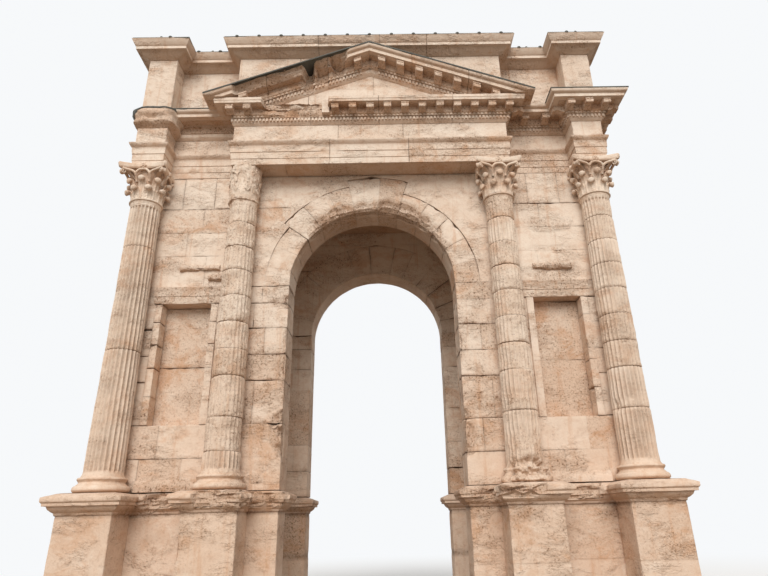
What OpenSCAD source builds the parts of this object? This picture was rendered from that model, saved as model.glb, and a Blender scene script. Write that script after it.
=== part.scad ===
// Four-sided triumphal arch: four corner piers on podiums carry two main arches,
// two side arches, an entablature that breaks forward over the columns,
// a pediment on each main front and an attic with a sheet roof.
// The front faces -Y, the ground is z = 0 and both middle planes pass the origin.

/* [Plan] */
// Distance from the middle plane to the face of the front and back walls
wall_y = 2190; // [2100:10:2300]
// Distance from the middle plane to the face of the side walls
wall_x = 4800; // [4760:10:4860]
// Thickness of the front and back walls
wall_t = 740; // [600:10:860]
// Thickness of the side walls
side_wall_t = 750; // [500:10:900]
// Distance from the middle plane to the inner column axes
col_in_x = 2785; // [2740:5:2860]
// Distance from the middle plane to the corner column axes
col_out_x = 4897; // [4870:1:4960]
// Distance from the middle plane to all column axes
col_y = 2430; // [2400:5:2450]

/* [Main arches] */
// Radius of the opening, which is half its width
arch_r = 1740; // [1600:10:1800]
// Depth of the voussoirs, from intrados to extrados
arch_ring_t = 860; // [600:10:880]
// Stone between the voussoirs and the architrave above
arch_crown_gap = 50; // [30:5:120]

/* [Side arches] */
// Radius of the opening, which is half its width
side_r = 1325; // [1200:5:1360]
// Height of the springing above the ground
side_spring_z = 4175; // [3800:5:4600]
// Depth of the voussoirs, from intrados to extrados
side_ring_t = 425; // [300:5:500]

/* [Podium and pedestals] */
// Height of the podium and the pedestals
podium_h = 2660; // [2560:10:2760]
// Height of the plinth and the base moulding
ped_base_h = 440; // [380:10:600]
// Height of the cap moulding
ped_cap_h = 380; // [340:10:460]
// Width of a pedestal's die
ped_w = 970; // [960:10:1000]
// Distance from the middle plane to the front face of the dies
ped_face_y = 2940; // [2900:10:2980]
// How far the cap moulding stands out
ped_cap_out = 200; // [150:5:230]
// How far the plinth stands out
ped_base_out = 110; // [60:5:160]

/* [Columns] */
// Height of a column, with its base and capital
col_h = 6690; // [6600:10:6900]
// Height of the base
col_base_h = 270; // [240:5:320]
// Radius of the lower torus of the base
col_base_r = 480; // [460:5:480]
// Radius at the foot of the shaft
col_r = 345; // [330:5:360]
// Radius at the top of the shaft
col_top_r = 305; // [295:5:325]
// Height of the capital
capital_h = 800; // [760:10:860]
// Half the width of the capital's abacus, from tip to tip
abacus_half = 550; // [520:5:570]
// Thickness of the abacus
abacus_t = 125; // [90:5:140]
// How far a lower leaf curls out past the neck
low_leaf_out = 125; // [90:5:140]
// Width of a lower leaf
low_leaf_w = 205; // [180:5:220]
// How far an upper leaf curls out past the neck
high_leaf_out = 150; // [120:5:160]
// Width of an upper leaf
high_leaf_w = 190; // [170:5:210]
// Flutes round a shaft
flutes = 24; // [20:4:24]
// Radius of a flute
flute_r = 31; // [26:1:33]

/* [Niches] */
// Width of a niche
niche_w = 980; // [900:10:1020]
// Height of a niche's sill above the podium
niche_rise = 1210; // [1000:10:1400]
// Distance from a niche's lintel up to the arch's springing
niche_head_gap = 20; // [10:5:200]
// Depth of a niche
niche_d = 300; // [200:10:450]
// Width of the flat band beside a niche
niche_band_w = 150; // [100:10:160]
// How far the band stands out of the wall
niche_band_out = 25; // [10:5:40]
// Height of a niche's lintel
lintel_h = 360; // [300:10:400]

/* [Entablature] */
// Height of the architrave
architrave_h = 594; // [560:2:640]
// Height of the frieze
frieze_h = 416; // [380:2:450]
// Height of the cornice
cornice_h = 530; // [500:5:560]
// How far the cornice stands out of the frieze
cornice_out = 525; // [480:5:560]
// Half the width of the middle part that breaks forward
break_half = 3070; // [3060:5:3090]
// Width of the part that breaks forward over a corner column
corner_w = 676; // [660:2:700]
// Distance from the middle plane to the faces that break forward
break_y = 2717; // [2700:1:2740]
// Height of the ceiling's underside above the columns
ceiling_rise = 350; // [200:10:450]
// Thickness of the ceiling slabs
ceiling_t = 300; // [200:10:400]
// Modillions across the middle part
modillions = 17; // [15:2:17]
// Width of a modillion
modillion_w = 150; // [120:5:170]

/* [Pediment] */
// Height of the apex above the horizontal cornice
pediment_rise = 1400; // [1300:10:1410]
// Half the width of the pediment at its eaves
pediment_half = 3680; // [3640:10:3700]
// Modillions on one raking cornice
rake_modillions = 8; // [6:1:8]
// Spacing of the modillions on the raking cornices
rake_modillion_pitch = 410; // [400:2:420]
// Thickness of the tympanum slabs
tympanum_t = 300; // [200:10:400]

/* [Broken places on the front, left of the middle] */
// Distance from the middle plane to where the raking cornice's break starts
rake_break_from = 530; // [500:10:1200]
// Distance from the middle plane to where it ends
rake_break_to = 3030; // [2200:10:3060]
// How far the broken raking cornice still stands out
rake_break_out = 170; // [150:10:240]
// Distance from the middle plane to where the level cornice's break starts
sill_break_from = 950; // [900:10:1400]
// Distance from the middle plane to where it ends
sill_break_to = 2370; // [1800:10:2500]
// How far the broken level cornice still stands out
sill_break_out = 85; // [60:5:150]
// How far the soffit beside the corner column has worn up
recess_wear = 8; // [5:1:15]
// How far the worn lump over the corner column stands out
lump_out = 165; // [120:5:220]

/* [Attic] */
// Height of the attic walls
attic_h = 1420; // [1400:10:1500]
// Height of the attic cornice
attic_cornice_h = 380; // [340:5:420]
// How far the attic cornice stands out
attic_cornice_out = 350; // [300:5:380]
// Half the width of the attic's middle part
attic_half = 3086; // [3076:2:3100]
// Width of the attic's corner piers
attic_corner_w = 663; // [640:2:680]
// Distance from the middle plane to the attic's faces that break forward
attic_y = 2700; // [2680:1:2710]
// How far the attic's set-back walls stand before the walls below
attic_wall_out = 30; // [0:5:60]
// Thickness of the roof sheets
roof_t = 25; // [10:1:40]
// Distance between the rolls that join the roof sheets
roll_pitch = 520; // [450:10:600]
// Radius of a roll
roll_r = 30; // [20:1:40]

/* [Hidden] */

stone = "#e0c8ae";
pale_stone = "#ead7c0";
metal = "#6f7468";
// Facets of round parts
smooth = 64;
// Facets of the arches, which are wide enough to need more
arch_smooth = 192;
// Points along one curve of a moulding
curve_n = 5;
// A cut runs this far past what it cuts
past = 20;
// Small step between two mouldings
lip = 18;
// How far the axis of a flute lies outside the shaft
flute_lift = 3;

inner_y = wall_y - wall_t;
inner_x = wall_x - side_wall_t;
arch_ring_r = arch_r + arch_ring_t;
side_ring_r = side_r + side_ring_t;
col_top_z = podium_h + col_h;
arch_spring_z = col_top_z - arch_crown_gap - arch_ring_r;
niche_sill_z = podium_h + niche_rise;
niche_h = arch_spring_z - niche_head_gap - lintel_h - niche_sill_z;
ceiling_z = col_top_z + ceiling_rise;
shaft_z = podium_h + col_base_h;
capital_z = col_top_z - capital_h;
// Radius of the hollow sides of an abacus, and of its corner scrolls
hollow_r = abacus_half * 2.2;
scroll_r = capital_h * 0.085;
frieze_z = col_top_z + architrave_h;
cornice_z = frieze_z + frieze_h;
attic_z = cornice_z + cornice_h;
attic_cornice_z = attic_z + attic_h;
roof_z = attic_cornice_z + attic_cornice_h;
niche_x = (col_in_x + col_out_x) / 2;
apex_z = attic_z + pediment_rise;
slope = atan(pediment_rise / pediment_half);
attic_wall_x = wall_x + attic_wall_out;
attic_wall_y = wall_y + attic_wall_out;
modillion_pitch = 2 * break_half / (modillions - 1.35);
corner_y = break_y - corner_w / 2;

// Heights within the main cornice, from its underside
dentil_z = cornice_h * 0.15;
ovolo_z = cornice_h * 0.30;
bracket_z = cornice_h * 0.415;
corona_z = cornice_h * 0.68;
sima_z = cornice_h * 0.79;
// How far the cornice's bands stand out
dentil_out = cornice_out * 0.20;
bracket_wall_out = cornice_out * 0.28;
bracket_out = cornice_out * 0.68;
corona_out = cornice_out * 0.74;
// The horizontal cornice under a pediment ends in a taller corona
pediment_corona_z = cornice_h - 30;

// A curve that bulges low and hollows high, or the other way when turned
function cyma(o0, z0, o1, z1, turn = 1) = [
    for (i = [0:curve_n]) let (t = i / curve_n)
        [o0 + (o1 - o0) * (t + turn * 0.13 * sin(360 * t)), z0 + (z1 - z0) * t]
];
// A quarter round that swells outwards as it rises
function ovolo(o0, z0, o1, z1) = [
    for (i = [0:curve_n]) let (t = 90 * i / curve_n)
        [o0 + (o1 - o0) * sin(t), z0 + (z1 - z0) * (1 - cos(t))]
];
function lifted(points, z) = [for (p = points) [p[0], p[1] + z]];
function reach(points) = max([for (p = points) p[0]]) + past;

podium_points = concat(
    [[ped_base_out, 0], [ped_base_out, ped_base_h * 0.62]],
    cyma(ped_base_out * 0.9, ped_base_h * 0.66, ped_base_out * 0.2, ped_base_h * 0.95, -1),
    [[0, ped_base_h], [0, podium_h - ped_cap_h]],
    [[ped_cap_out * 0.12, podium_h - ped_cap_h], [ped_cap_out * 0.12, podium_h - ped_cap_h * 0.87]],
    cyma(ped_cap_out * 0.2, podium_h - ped_cap_h * 0.85, ped_cap_out * 0.55, podium_h - ped_cap_h * 0.63),
    [[ped_cap_out * 0.85, podium_h - ped_cap_h * 0.6], [ped_cap_out * 0.85, podium_h - ped_cap_h * 0.45]],
    [[ped_cap_out, podium_h - ped_cap_h * 0.39], [ped_cap_out * 0.15, podium_h - 10], [0, podium_h]]
);

architrave_points = concat(
    [[0, 0], [0, architrave_h * 0.25], [lip, architrave_h * 0.25], [lip, architrave_h * 0.52]],
    [[2 * lip, architrave_h * 0.52], [2 * lip, architrave_h * 0.79]],
    cyma(42, architrave_h * 0.80, 88, architrave_h * 0.93),
    [[95, architrave_h * 0.93], [95, architrave_h]]
);
frieze_points = [[0, 0], [0, frieze_h]];
bed_points = concat(
    cyma(8, 0, dentil_out * 0.6, dentil_z),
    [[dentil_out * 0.7, dentil_z], [dentil_out * 0.7, ovolo_z]],
    ovolo(dentil_out, ovolo_z, bracket_wall_out, bracket_z),
    [[bracket_wall_out, corona_z]]
);
cornice_points = concat(
    bed_points,
    [[corona_out, corona_z], [corona_out, sima_z], [corona_out + 14, sima_z]],
    cyma(corona_out + lip, sima_z + 10, cornice_out - 6, cornice_h - 22),
    [[cornice_out, cornice_h - 22], [cornice_out, cornice_h]]
);
attic_cornice_points = concat(
    cyma(10, 0, attic_cornice_out * 0.55, attic_cornice_h * 0.34),
    [[attic_cornice_out * 0.74, attic_cornice_h * 0.34], [attic_cornice_out * 0.74, attic_cornice_h * 0.55]],
    cyma(attic_cornice_out * 0.78, attic_cornice_h * 0.57, attic_cornice_out * 0.98, attic_cornice_h * 0.94),
    [[attic_cornice_out, attic_cornice_h * 0.94], [attic_cornice_out, attic_cornice_h]]
);

// A box between two corners
module between(x, y, z) {
    translate([x[0], y[0], z[0]]) cube([x[1] - x[0], y[1] - y[0], z[1] - z[0]]);
}
// The outline of a block that is moulded on both sides, between a and b
module silhouette(a, b, points) {
    polygon(concat(
        [for (p = points) [b + p[0], p[1]]],
        [for (i = [len(points) - 1:-1:0]) [a - points[i][0], points[i][1]]]
    ));
}
// Sweeps an outline drawn as [y, z] along X
module along_x(x0, x1) {
    translate([x0, 0, 0]) rotate([90, 0, 90]) linear_extrude(x1 - x0) children();
}
// Sweeps an outline drawn as [x, z] along Y
module along_y(y0, y1) {
    translate([0, y1, 0]) rotate([90, 0, 0]) linear_extrude(y1 - y0) children();
}
// A block with the same moulding on its four sides, mitred at the corners
module moulded(x, y, points) {
    r = reach(points);
    intersection() {
        along_x(x[0] - r, x[1] + r) silhouette(y[0], y[1], points);
        along_y(y[0] - r, y[1] + r) silhouette(x[0], x[1], points);
    }
}
// Everything is drawn at the front right and mirrored to its place
module at_side(s) {
    if (s < 0) mirror([1, 0, 0]) children();
    else children();
}
module at_front(f) {
    if (f < 0) children();
    else mirror([0, 1, 0]) children();
}
module quarter(s, f) {
    at_side(s) at_front(f) children();
}

// The walls' corner, which the columns and pedestals stand against
module wall_core(z0, z1) {
    between([-past, wall_x], [-wall_y, past], [z0, z1]);
}
module pedestal_block(x) {
    moulded([x - ped_w / 2, x + ped_w / 2], [-ped_face_y, -ped_face_y + ped_w], podium_points);
}
module pedestals() {
    difference() {
        for (x = [col_in_x, col_out_x]) pedestal_block(x);
        wall_core(-past, podium_h + past);
    }
}

module podium() {
    moulded([arch_r, wall_x], [-wall_y, -inner_y], podium_points);
    moulded([inner_x, wall_x], [-inner_y - past, -side_r], podium_points);
}
module pier_walls() {
    between([arch_r, wall_x], [-wall_y, -inner_y], [0, arch_spring_z]);
    between([inner_x, wall_x], [-inner_y - past, -side_r], [0, side_spring_z]);
}
module wall_base() {
    base_out = col_base_r * 0.125;
    translate([0, -wall_y, podium_h])
        along_x(col_in_x + col_base_r, col_out_x - col_base_r)
            polygon(concat(
                [[past, 0], [-base_out, 0], [-base_out, col_base_h * 0.4]],
                [for (p = cyma(base_out * 0.8, col_base_h * 0.45, 0, col_base_h * 0.8)) [-p[0], p[1]]],
                [[past, col_base_h * 0.8]]
            ));
}
module niche_frame() {
    top_z = niche_sill_z + niche_h;
    half = niche_w / 2 + niche_band_w;
    between([niche_x - half, niche_x + half], [-wall_y - niche_band_out, -wall_y + past], [niche_sill_z, top_z]);
    along_x(niche_x - half - niche_band_w * 0.2, niche_x + half + niche_band_w * 0.2)
        polygon([
            [-wall_y + past, top_z],
            [-wall_y - niche_band_out, top_z],
            [-wall_y - niche_band_out, top_z + lintel_h * 0.45],
            [-wall_y - niche_band_out * 1.8, top_z + lintel_h * 0.45],
            [-wall_y - niche_band_out * 1.8, top_z + lintel_h * 0.8],
            [-wall_y - niche_band_out * 2.8, top_z + lintel_h],
            [-wall_y + past, top_z + lintel_h]
        ]);
}
module pier() {
    difference() {
        union() {
            podium();
            pier_walls();
            wall_base();
            niche_frame();
        }
        between([niche_x - niche_w / 2, niche_x + niche_w / 2],
            [-wall_y - wall_t, -wall_y + niche_d], [niche_sill_z, niche_sill_z + niche_h]);
        for (x = [col_in_x, col_out_x]) difference() {
            pedestal_block(x);
            wall_core(-past, podium_h + past);
        }
        side_arch_disc(side_ring_r, inner_x - past, wall_x + past);
    }
}

// Half discs above the springings, for the rings and what they cut
module main_arch_disc(r, y0, y1) {
    intersection() {
        along_y(y0, y1) translate([0, arch_spring_z]) circle(r, $fn = arch_smooth);
        between([-r, r], [y0, y1], [arch_spring_z, arch_spring_z + r]);
    }
}
module side_arch_disc(r, x0, x1) {
    intersection() {
        along_x(x0, x1) translate([0, side_spring_z]) circle(r, $fn = arch_smooth);
        between([x0, x1], [-r, r], [side_spring_z, side_spring_z + r]);
    }
}
module main_arch() {
    difference() {
        main_arch_disc(arch_ring_r, -wall_y, -inner_y);
        main_arch_disc(arch_r, -wall_y - past, -inner_y + past);
    }
}
module side_arch() {
    difference() {
        side_arch_disc(side_ring_r, inner_x, wall_x);
        side_arch_disc(side_r, inner_x - past, wall_x + past);
    }
}
module spandrel() {
    difference() {
        between([-wall_x, wall_x], [-wall_y, -inner_y], [arch_spring_z, col_top_z]);
        main_arch_disc(arch_ring_r, -wall_y - past, -inner_y + past);
    }
}
module side_wall() {
    difference() {
        between([inner_x, wall_x], [-inner_y, inner_y], [side_spring_z, col_top_z]);
        side_arch_disc(side_ring_r, inner_x - past, wall_x + past);
    }
}
module ceiling() {
    between([-inner_x, inner_x], [-inner_y, inner_y], [ceiling_z, ceiling_z + ceiling_t]);
}

// The column's base, from its lower torus to the foot of the shaft
function base_points() = concat(
    [[0, 0], [col_base_r - col_base_h * 0.22, 0]],
    [for (a = [-60:30:90]) [col_base_r - col_base_h * 0.22 + col_base_h * 0.22 * cos(a),
        col_base_h * (0.22 + 0.22 * sin(a))]],
    [[col_r + 75, col_base_h * 0.46]],
    [for (a = [60:30:120]) [col_r + 105 - 60 * sin(a), col_base_h * (0.46 + 0.26 * (a - 60) / 60)]],
    [for (a = [-60:30:60]) [col_r + 32 + col_base_h * 0.11 * cos(a), col_base_h * (0.84 + 0.11 * sin(a))]],
    [[col_r + 25, col_base_h], [col_r + 12, col_base_h]]
);
// Whether a flute at this angle lies wholly inside the wall behind the column
function buried(x, angle) =
    x + col_r * cos(angle) < wall_x - flute_r && col_r * sin(angle) - col_y > flute_r - wall_y;
module column(x) {
    shaft_h = capital_z - shaft_z;
    flute_h = shaft_h - 330;
    lean = atan((col_r - col_top_r) / shaft_h);
    difference() {
        translate([x, -col_y, 0]) difference() {
            rotate_extrude($fn = smooth) polygon(concat(
                lifted(base_points(), podium_h),
                [[col_r, shaft_z + 60], [col_top_r, capital_z - 110]],
                [[col_top_r + 12, capital_z - 75], [col_top_r + 12, capital_z - 62]],
                [for (a = [-60:30:60]) [col_top_r + 18 + 24 * cos(a), capital_z - 34 + 28 * sin(a)]],
                [[col_top_r + 10, capital_z], [0, capital_z]]
            ));
            for (i = [0:flutes - 1]) if (!buried(x, i * 360 / flutes))
                rotate([0, 0, i * 360 / flutes])
                    translate([col_r + flute_lift, 0, shaft_z + 110]) rotate([0, -lean, 0]) {
                        cylinder(r = flute_r, h = flute_h, $fn = smooth / 2);
                        sphere(r = flute_r, $fn = smooth / 2);
                        translate([0, 0, flute_h]) sphere(r = flute_r, $fn = smooth / 2);
                    }
        }
        wall_core(podium_h - past, capital_z + past);
    }
}

// One leaf, rising against the bell and curling out into a knob
module leaf(foot_r, tip_r, h, w) {
    knob_r = w * 0.34;
    n = 6;
    intersection() {
        translate([0, w / 2, 0]) rotate([90, 0, 0]) linear_extrude(w) polygon(concat(
            [for (i = [0:n]) let (t = i / n) [foot_r + 22 + (tip_r - foot_r - 22) * pow(t, 3), h * t]],
            [for (i = [n:-1:0]) let (t = i / n) [foot_r - 30 + (tip_r - foot_r - 45) * pow(t, 3), h * t]]
        ));
        translate([foot_r - 60, 0, 0]) rotate([90, 0, 90]) linear_extrude(tip_r - foot_r + 160) union() {
            translate([0, h - w * 0.45]) circle(w * 0.45, $fn = smooth / 2);
            translate([-w * 0.45, 0]) square([w * 0.9, h - w * 0.45]);
        }
    }
    translate([tip_r - knob_r * 0.3, 0, h - knob_r * 0.6]) sphere(knob_r, $fn = smooth / 2);
}
module abacus() {
    difference() {
        translate([-abacus_half, -abacus_half, capital_h - abacus_t])
            cube([2 * abacus_half, 2 * abacus_half, abacus_t]);
        for (a = [0:90:270]) rotate([0, 0, a]) {
            translate([hollow_r + abacus_half * 0.77, 0, capital_h - abacus_t - past])
                cylinder(r = hollow_r, h = abacus_t + 2 * past, $fn = smooth);
            rotate([0, 0, 45]) translate([abacus_half * 1.33, -abacus_half, capital_h - abacus_t - past])
                cube([abacus_half, 2 * abacus_half, abacus_t + 2 * past]);
        }
    }
}
module volutes() {
    for (a = [45:90:315]) rotate([0, 0, a]) {
        translate([abacus_half * 1.15, scroll_r * 0.7, capital_h - abacus_t - scroll_r])
            rotate([90, 0, 0]) cylinder(r = scroll_r, h = scroll_r * 1.4, $fn = smooth / 2);
        rotate([90, 0, 0]) translate([0, 0, -scroll_r * 0.4]) linear_extrude(scroll_r * 0.8) polygon([
            [col_top_r * 0.8, capital_h * 0.45],
            [col_top_r * 1.25, capital_h * 0.62],
            [abacus_half * 1.15, capital_h - abacus_t - scroll_r * 1.7],
            [abacus_half * 1.15, capital_h - abacus_t],
            [col_top_r * 0.8, capital_h - abacus_t]
        ]);
    }
    for (a = [0:90:270]) rotate([0, 0, a])
        translate([abacus_half * 0.74, 0, capital_h - abacus_t / 2]) sphere(abacus_t * 0.62, $fn = smooth / 2);
}
// The ribs that part from between the leaves and meet in the middle of a side
module ribs() {
    under = capital_h - abacus_t;
    rib_t = scroll_r * 0.9;
    marks = [
        [0, 0], [0.07, -0.05], [0.15, -0.50], [0.21, -0.78], [0.27, -0.80], [0.34, -0.60], [0.43, -0.30],
        [0.55, -0.15], [0.77, -0.15]
    ];
    crest = [for (m = marks) [m[0] * abacus_half, under + m[1] * scroll_r]];
    foot = [col_top_r * sin(22.5), capital_h * 0.42];
    for (a = [0:90:270]) rotate([0, 0, a]) intersection() {
        rotate([90, 0, 90]) linear_extrude(abacus_half) for (s = [0, 1]) mirror([s, 0]) {
            polygon(concat(crest, [for (i = [len(crest) - 1:-1:0]) crest[i] - [0, rib_t]]));
            polygon([foot - [rib_t / 2, 0], foot + [rib_t / 2, 0], crest[4] - [0, rib_t / 2],
                crest[2] - [0, rib_t / 2]]);
        }
        translate([0, 0, foot[1]]) linear_extrude(under + past - foot[1]) difference() {
            translate([0, -abacus_half]) square([abacus_half, 2 * abacus_half]);
            translate([hollow_r + abacus_half * 0.72, 0]) circle(hollow_r, $fn = smooth);
        }
    }
}
module bell() {
    rotate_extrude($fn = smooth) polygon(concat(
        [[0, 0], [col_top_r - 20, 0]],
        [for (i = [0:6]) let (t = i / 6)
            [col_top_r - 20 + 90 * pow(t, 3), t * (capital_h - abacus_t)]],
        [[0, capital_h - abacus_t]]
    ));
}
module capital(x) {
    difference() {
        translate([x, -col_y, capital_z]) {
            bell();
            abacus();
            volutes();
            ribs();
            for (a = [0:45:315]) {
                rotate([0, 0, a + 22.5])
                    leaf(col_top_r, col_top_r + low_leaf_out, capital_h * 0.34, low_leaf_w);
                rotate([0, 0, a])
                    leaf(col_top_r, col_top_r + high_leaf_out, capital_h * 0.60, high_leaf_w);
            }
        }
        wall_core(capital_z - past, col_top_z + past);
    }
}
module capitals() {
    for (x = [col_in_x, col_out_x]) capital(x);
}

// The parts of the entablature's plan on one main front
module front_course(points) {
    intersection() {
        union() {
            moulded([-wall_x, wall_x], [-wall_y, wall_y], points);
            moulded([-break_half, break_half], [-break_y, break_y], points);
            corner_blocks(points);
        }
        between([-2 * wall_x, 2 * wall_x], [-2 * wall_y, -inner_y], [-past, roof_z]);
    }
}
module corner_blocks(points) {
    for (s = [-1, 1]) at_side(s)
        moulded([col_out_x - corner_w / 2, col_out_x + corner_w / 2], [-break_y, -break_y + corner_w], points);
}
module side_course(points) {
    intersection() {
        moulded([-wall_x, wall_x], [-wall_y, wall_y], points);
        between([inner_x, 2 * wall_x], [-inner_y, inner_y], [-past, roof_z]);
    }
}
module architrave() {
    front_course(lifted(architrave_points, col_top_z));
}
module frieze() {
    front_course(lifted(frieze_points, frieze_z));
}

// A bracket under the corona, whose back lies at y = 0 and which points to -Y
module modillion() {
    h = corona_z - bracket_z;
    l = bracket_out - bracket_wall_out;
    translate([-modillion_w / 2, 0, bracket_z])
        along_x(0, modillion_w) polygon(concat(
            [[past, 0], [past, h], [-l, h], [-l, h * 0.55]],
            [for (i = [1:curve_n]) let (t = i / curve_n)
                [-l * (1 - t), h * (0.55 - 0.45 * sin(90 * t))]]
        ));
}
module modillion_row(places, y) {
    for (x = places) translate([x, -y - bracket_wall_out, 0]) modillion();
}
module turned_row(places, x) {
    for (y = places) translate([x + bracket_wall_out, y, 0]) rotate([0, 0, 90]) modillion();
}
module front_modillions() {
    corner_pitch = corner_w * 0.54;
    recess_x = (break_half + col_out_x - corner_w / 2) / 2;
    modillion_row([for (i = [0:modillions - 1]) (i - (modillions - 1) / 2) * modillion_pitch], break_y);
    for (s = [-1, 1]) at_side(s) {
        modillion_row([for (i = [-1:1]) col_out_x + i * corner_pitch], break_y);
        modillion_row([recess_x - modillion_pitch / 2, recess_x + modillion_pitch / 2], wall_y);
        turned_row([for (i = [-1:1]) -corner_y + i * corner_pitch], col_out_x + corner_w / 2);
        turned_row([-4 * modillion_pitch], wall_x);
        turned_row([-(break_y + wall_y) / 2], break_half);
    }
}
module cornice() {
    points = lifted(cornice_points, cornice_z);
    difference() {
        front_course(points);
        between([-break_half - corona_out - lip, break_half + corona_out + lip],
            [-2 * wall_y, -break_y], [cornice_z + pediment_corona_z, roof_z]);
        between([-break_half - corona_out - lip, break_half + corona_out + lip],
            [-2 * wall_y, -break_y - corona_out - lip], [cornice_z + corona_z, roof_z]);
    }
    translate([0, 0, cornice_z]) front_modillions();
}
// The worn stone that is left of the cornice over the corner column
module worn_lump() {
    lump_points = [
        [lump_out * 0.2, 0], [lump_out * 0.7, cornice_h * 0.16], [lump_out * 0.8, cornice_h * 0.34],
        [lump_out, cornice_h * 0.46], [lump_out * 0.95, cornice_h * 0.66], [lump_out * 0.7, cornice_h * 0.86],
        [lump_out * 0.3, cornice_h]
    ];
    intersection() {
        moulded([col_out_x - corner_w / 2, col_out_x + corner_w / 2],
            [-break_y, -break_y + corner_w], lifted(lump_points, cornice_z));
        translate([col_out_x, corner_w / 2 - break_y, cornice_z])
            cylinder(r = corner_w * 0.52 + lump_out, h = cornice_h, $fn = smooth);
    }
}
module worn_cornice() {
    corner_in = col_out_x - corner_w / 2;
    difference() {
        cornice();
        at_side(-1) {
            between([sill_break_from, sill_break_to], [-2 * break_y, -break_y - sill_break_out],
                [cornice_z - past, attic_z + past]);
            between([corner_in - cornice_out - past, corner_in],
                [-2 * break_y, -wall_y - cornice_out], [cornice_z - past, attic_z + past]);
            between([corner_in, 2 * wall_x], [-2 * break_y, -break_y + corner_w],
                [cornice_z, attic_z + past]);
            between([wall_x, 2 * wall_x], [-break_y, -break_y + corner_w + cornice_out + past],
                [cornice_z, attic_z + past]);
            between([break_half, corner_in], [-wall_y - bracket_out - past, -wall_y - bracket_wall_out],
                [cornice_z + bracket_z - past, cornice_z + corona_z + recess_wear]);
        }
    }
    at_side(-1) worn_lump();
}
module side_entablature() {
    side_course(lifted(architrave_points, col_top_z));
    side_course(lifted(frieze_points, frieze_z));
    side_course(lifted(cornice_points, cornice_z));
    translate([0, 0, cornice_z]) turned_row([for (i = [-3:3]) i * modillion_pitch], wall_x);
}

// The pediment: a tympanum under two raking cornices
function rake_z(x) = apex_z - abs(x) * tan(slope);
// The sloping cornice with the slab behind it, still uncut at its ends
module rake_sweep() {
    translate([0, 0, apex_z]) rotate([0, slope, 0]) along_x(-cornice_h, pediment_half * 1.2)
        polygon(concat(
            [[-break_y + tympanum_t, -cornice_h]],
            [for (p = cornice_points) [-break_y - p[0], p[1] - cornice_h]],
            [[-break_y + tympanum_t, 0]]
        ));
}
module raking_cornice() {
    intersection() {
        rake_sweep();
        between([0, pediment_half], [-break_y - cornice_out - past, -break_y],
            [cornice_z + pediment_corona_z, apex_z + past]);
    }
}
module raking_modillions() {
    fall = cornice_h / cos(slope);
    low = fall * (1 - bracket_z / cornice_h);
    high = fall * (1 - corona_z / cornice_h) - past;
    for (i = [0:rake_modillions - 1]) intersection() {
        along_y(-break_y - bracket_out, -break_y - bracket_wall_out + past)
            polygon(concat(
                [for (x = rake_stops(i * rake_modillion_pitch)) [x, rake_z(x) - low]],
                [for (x = rake_stops(i * rake_modillion_pitch, -1)) [x, rake_z(x) - high]]
            ));
        between([0, pediment_half], [-2 * break_y, 0], [cornice_z + pediment_corona_z, apex_z]);
    }
}
// The two sides of a raking bracket and its middle, from left to right or back
function rake_stops(x, turn = 1) = [for (i = [-1:1]) x + turn * i * modillion_w / 2];
// The slab that fills the triangle and backs the raking cornices
module tympanum() {
    drop = cornice_h * 0.5;
    intersection() {
        union() {
            for (s = [-1, 1]) at_side(s) intersection() {
                rake_sweep();
                between([0, break_half], [-2 * break_y, 0], [attic_z, apex_z + past]);
            }
            along_y(-break_y, -break_y + tympanum_t) polygon([
                [-pediment_half + drop / tan(slope), attic_z],
                [pediment_half - drop / tan(slope), attic_z],
                [0, apex_z - drop]
            ]);
        }
        between([-break_half, break_half], [-break_y, -break_y + tympanum_t], [attic_z, apex_z + past]);
    }
}
module pediment() {
    tympanum();
    for (s = [-1, 1]) at_side(s) {
        raking_cornice();
        raking_modillions();
    }
}
// What has broken off the raking cornice, down to its bed moulding
module rake_break() {
    under = cornice_h / cos(slope) * (1 - bracket_z / cornice_h) + past;
    along_y(-2 * break_y, -break_y - rake_break_out) polygon([
        [rake_break_from, rake_z(rake_break_from) - under],
        [rake_break_to, rake_z(rake_break_to) - under],
        [rake_break_to, apex_z + past],
        [rake_break_from, apex_z + past]
    ]);
}
module worn_pediment() {
    difference() {
        pediment();
        at_side(-1) rake_break();
    }
}

module attic_front_wall() {
    difference() {
        union() {
            between([-attic_wall_x, attic_wall_x], [-attic_wall_y, -inner_y], [attic_z, attic_cornice_z]);
            between([-attic_half, attic_half], [-attic_y, -inner_y], [attic_z, attic_cornice_z]);
            for (s = [-1, 1]) at_side(s) attic_corner(attic_z, attic_cornice_z);
        }
        tympanum();
    }
}
module attic_corner(z0, z1) {
    between([col_out_x - attic_corner_w / 2, col_out_x + attic_corner_w / 2],
        [-attic_y, -attic_y + attic_corner_w], [z0, z1]);
}
module attic_side_wall() {
    between([inner_x, attic_wall_x], [-inner_y, inner_y], [attic_z, attic_cornice_z]);
}
module attic_cornice() {
    points = lifted(attic_cornice_points, attic_cornice_z);
    moulded([-attic_wall_x, attic_wall_x], [-attic_wall_y, attic_wall_y], points);
    moulded([-attic_half, attic_half], [-attic_y, attic_y], points);
    for (s = [-1, 1], f = [-1, 1]) quarter(s, f)
        moulded([col_out_x - attic_corner_w / 2, col_out_x + attic_corner_w / 2],
            [-attic_y, -attic_y + attic_corner_w], points);
}
module roof_plan(x, y, out, z0, z1) {
    between([x[0] - out, x[1] + out], [y[0] - out, y[1] + out], [z0, z1]);
}
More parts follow.
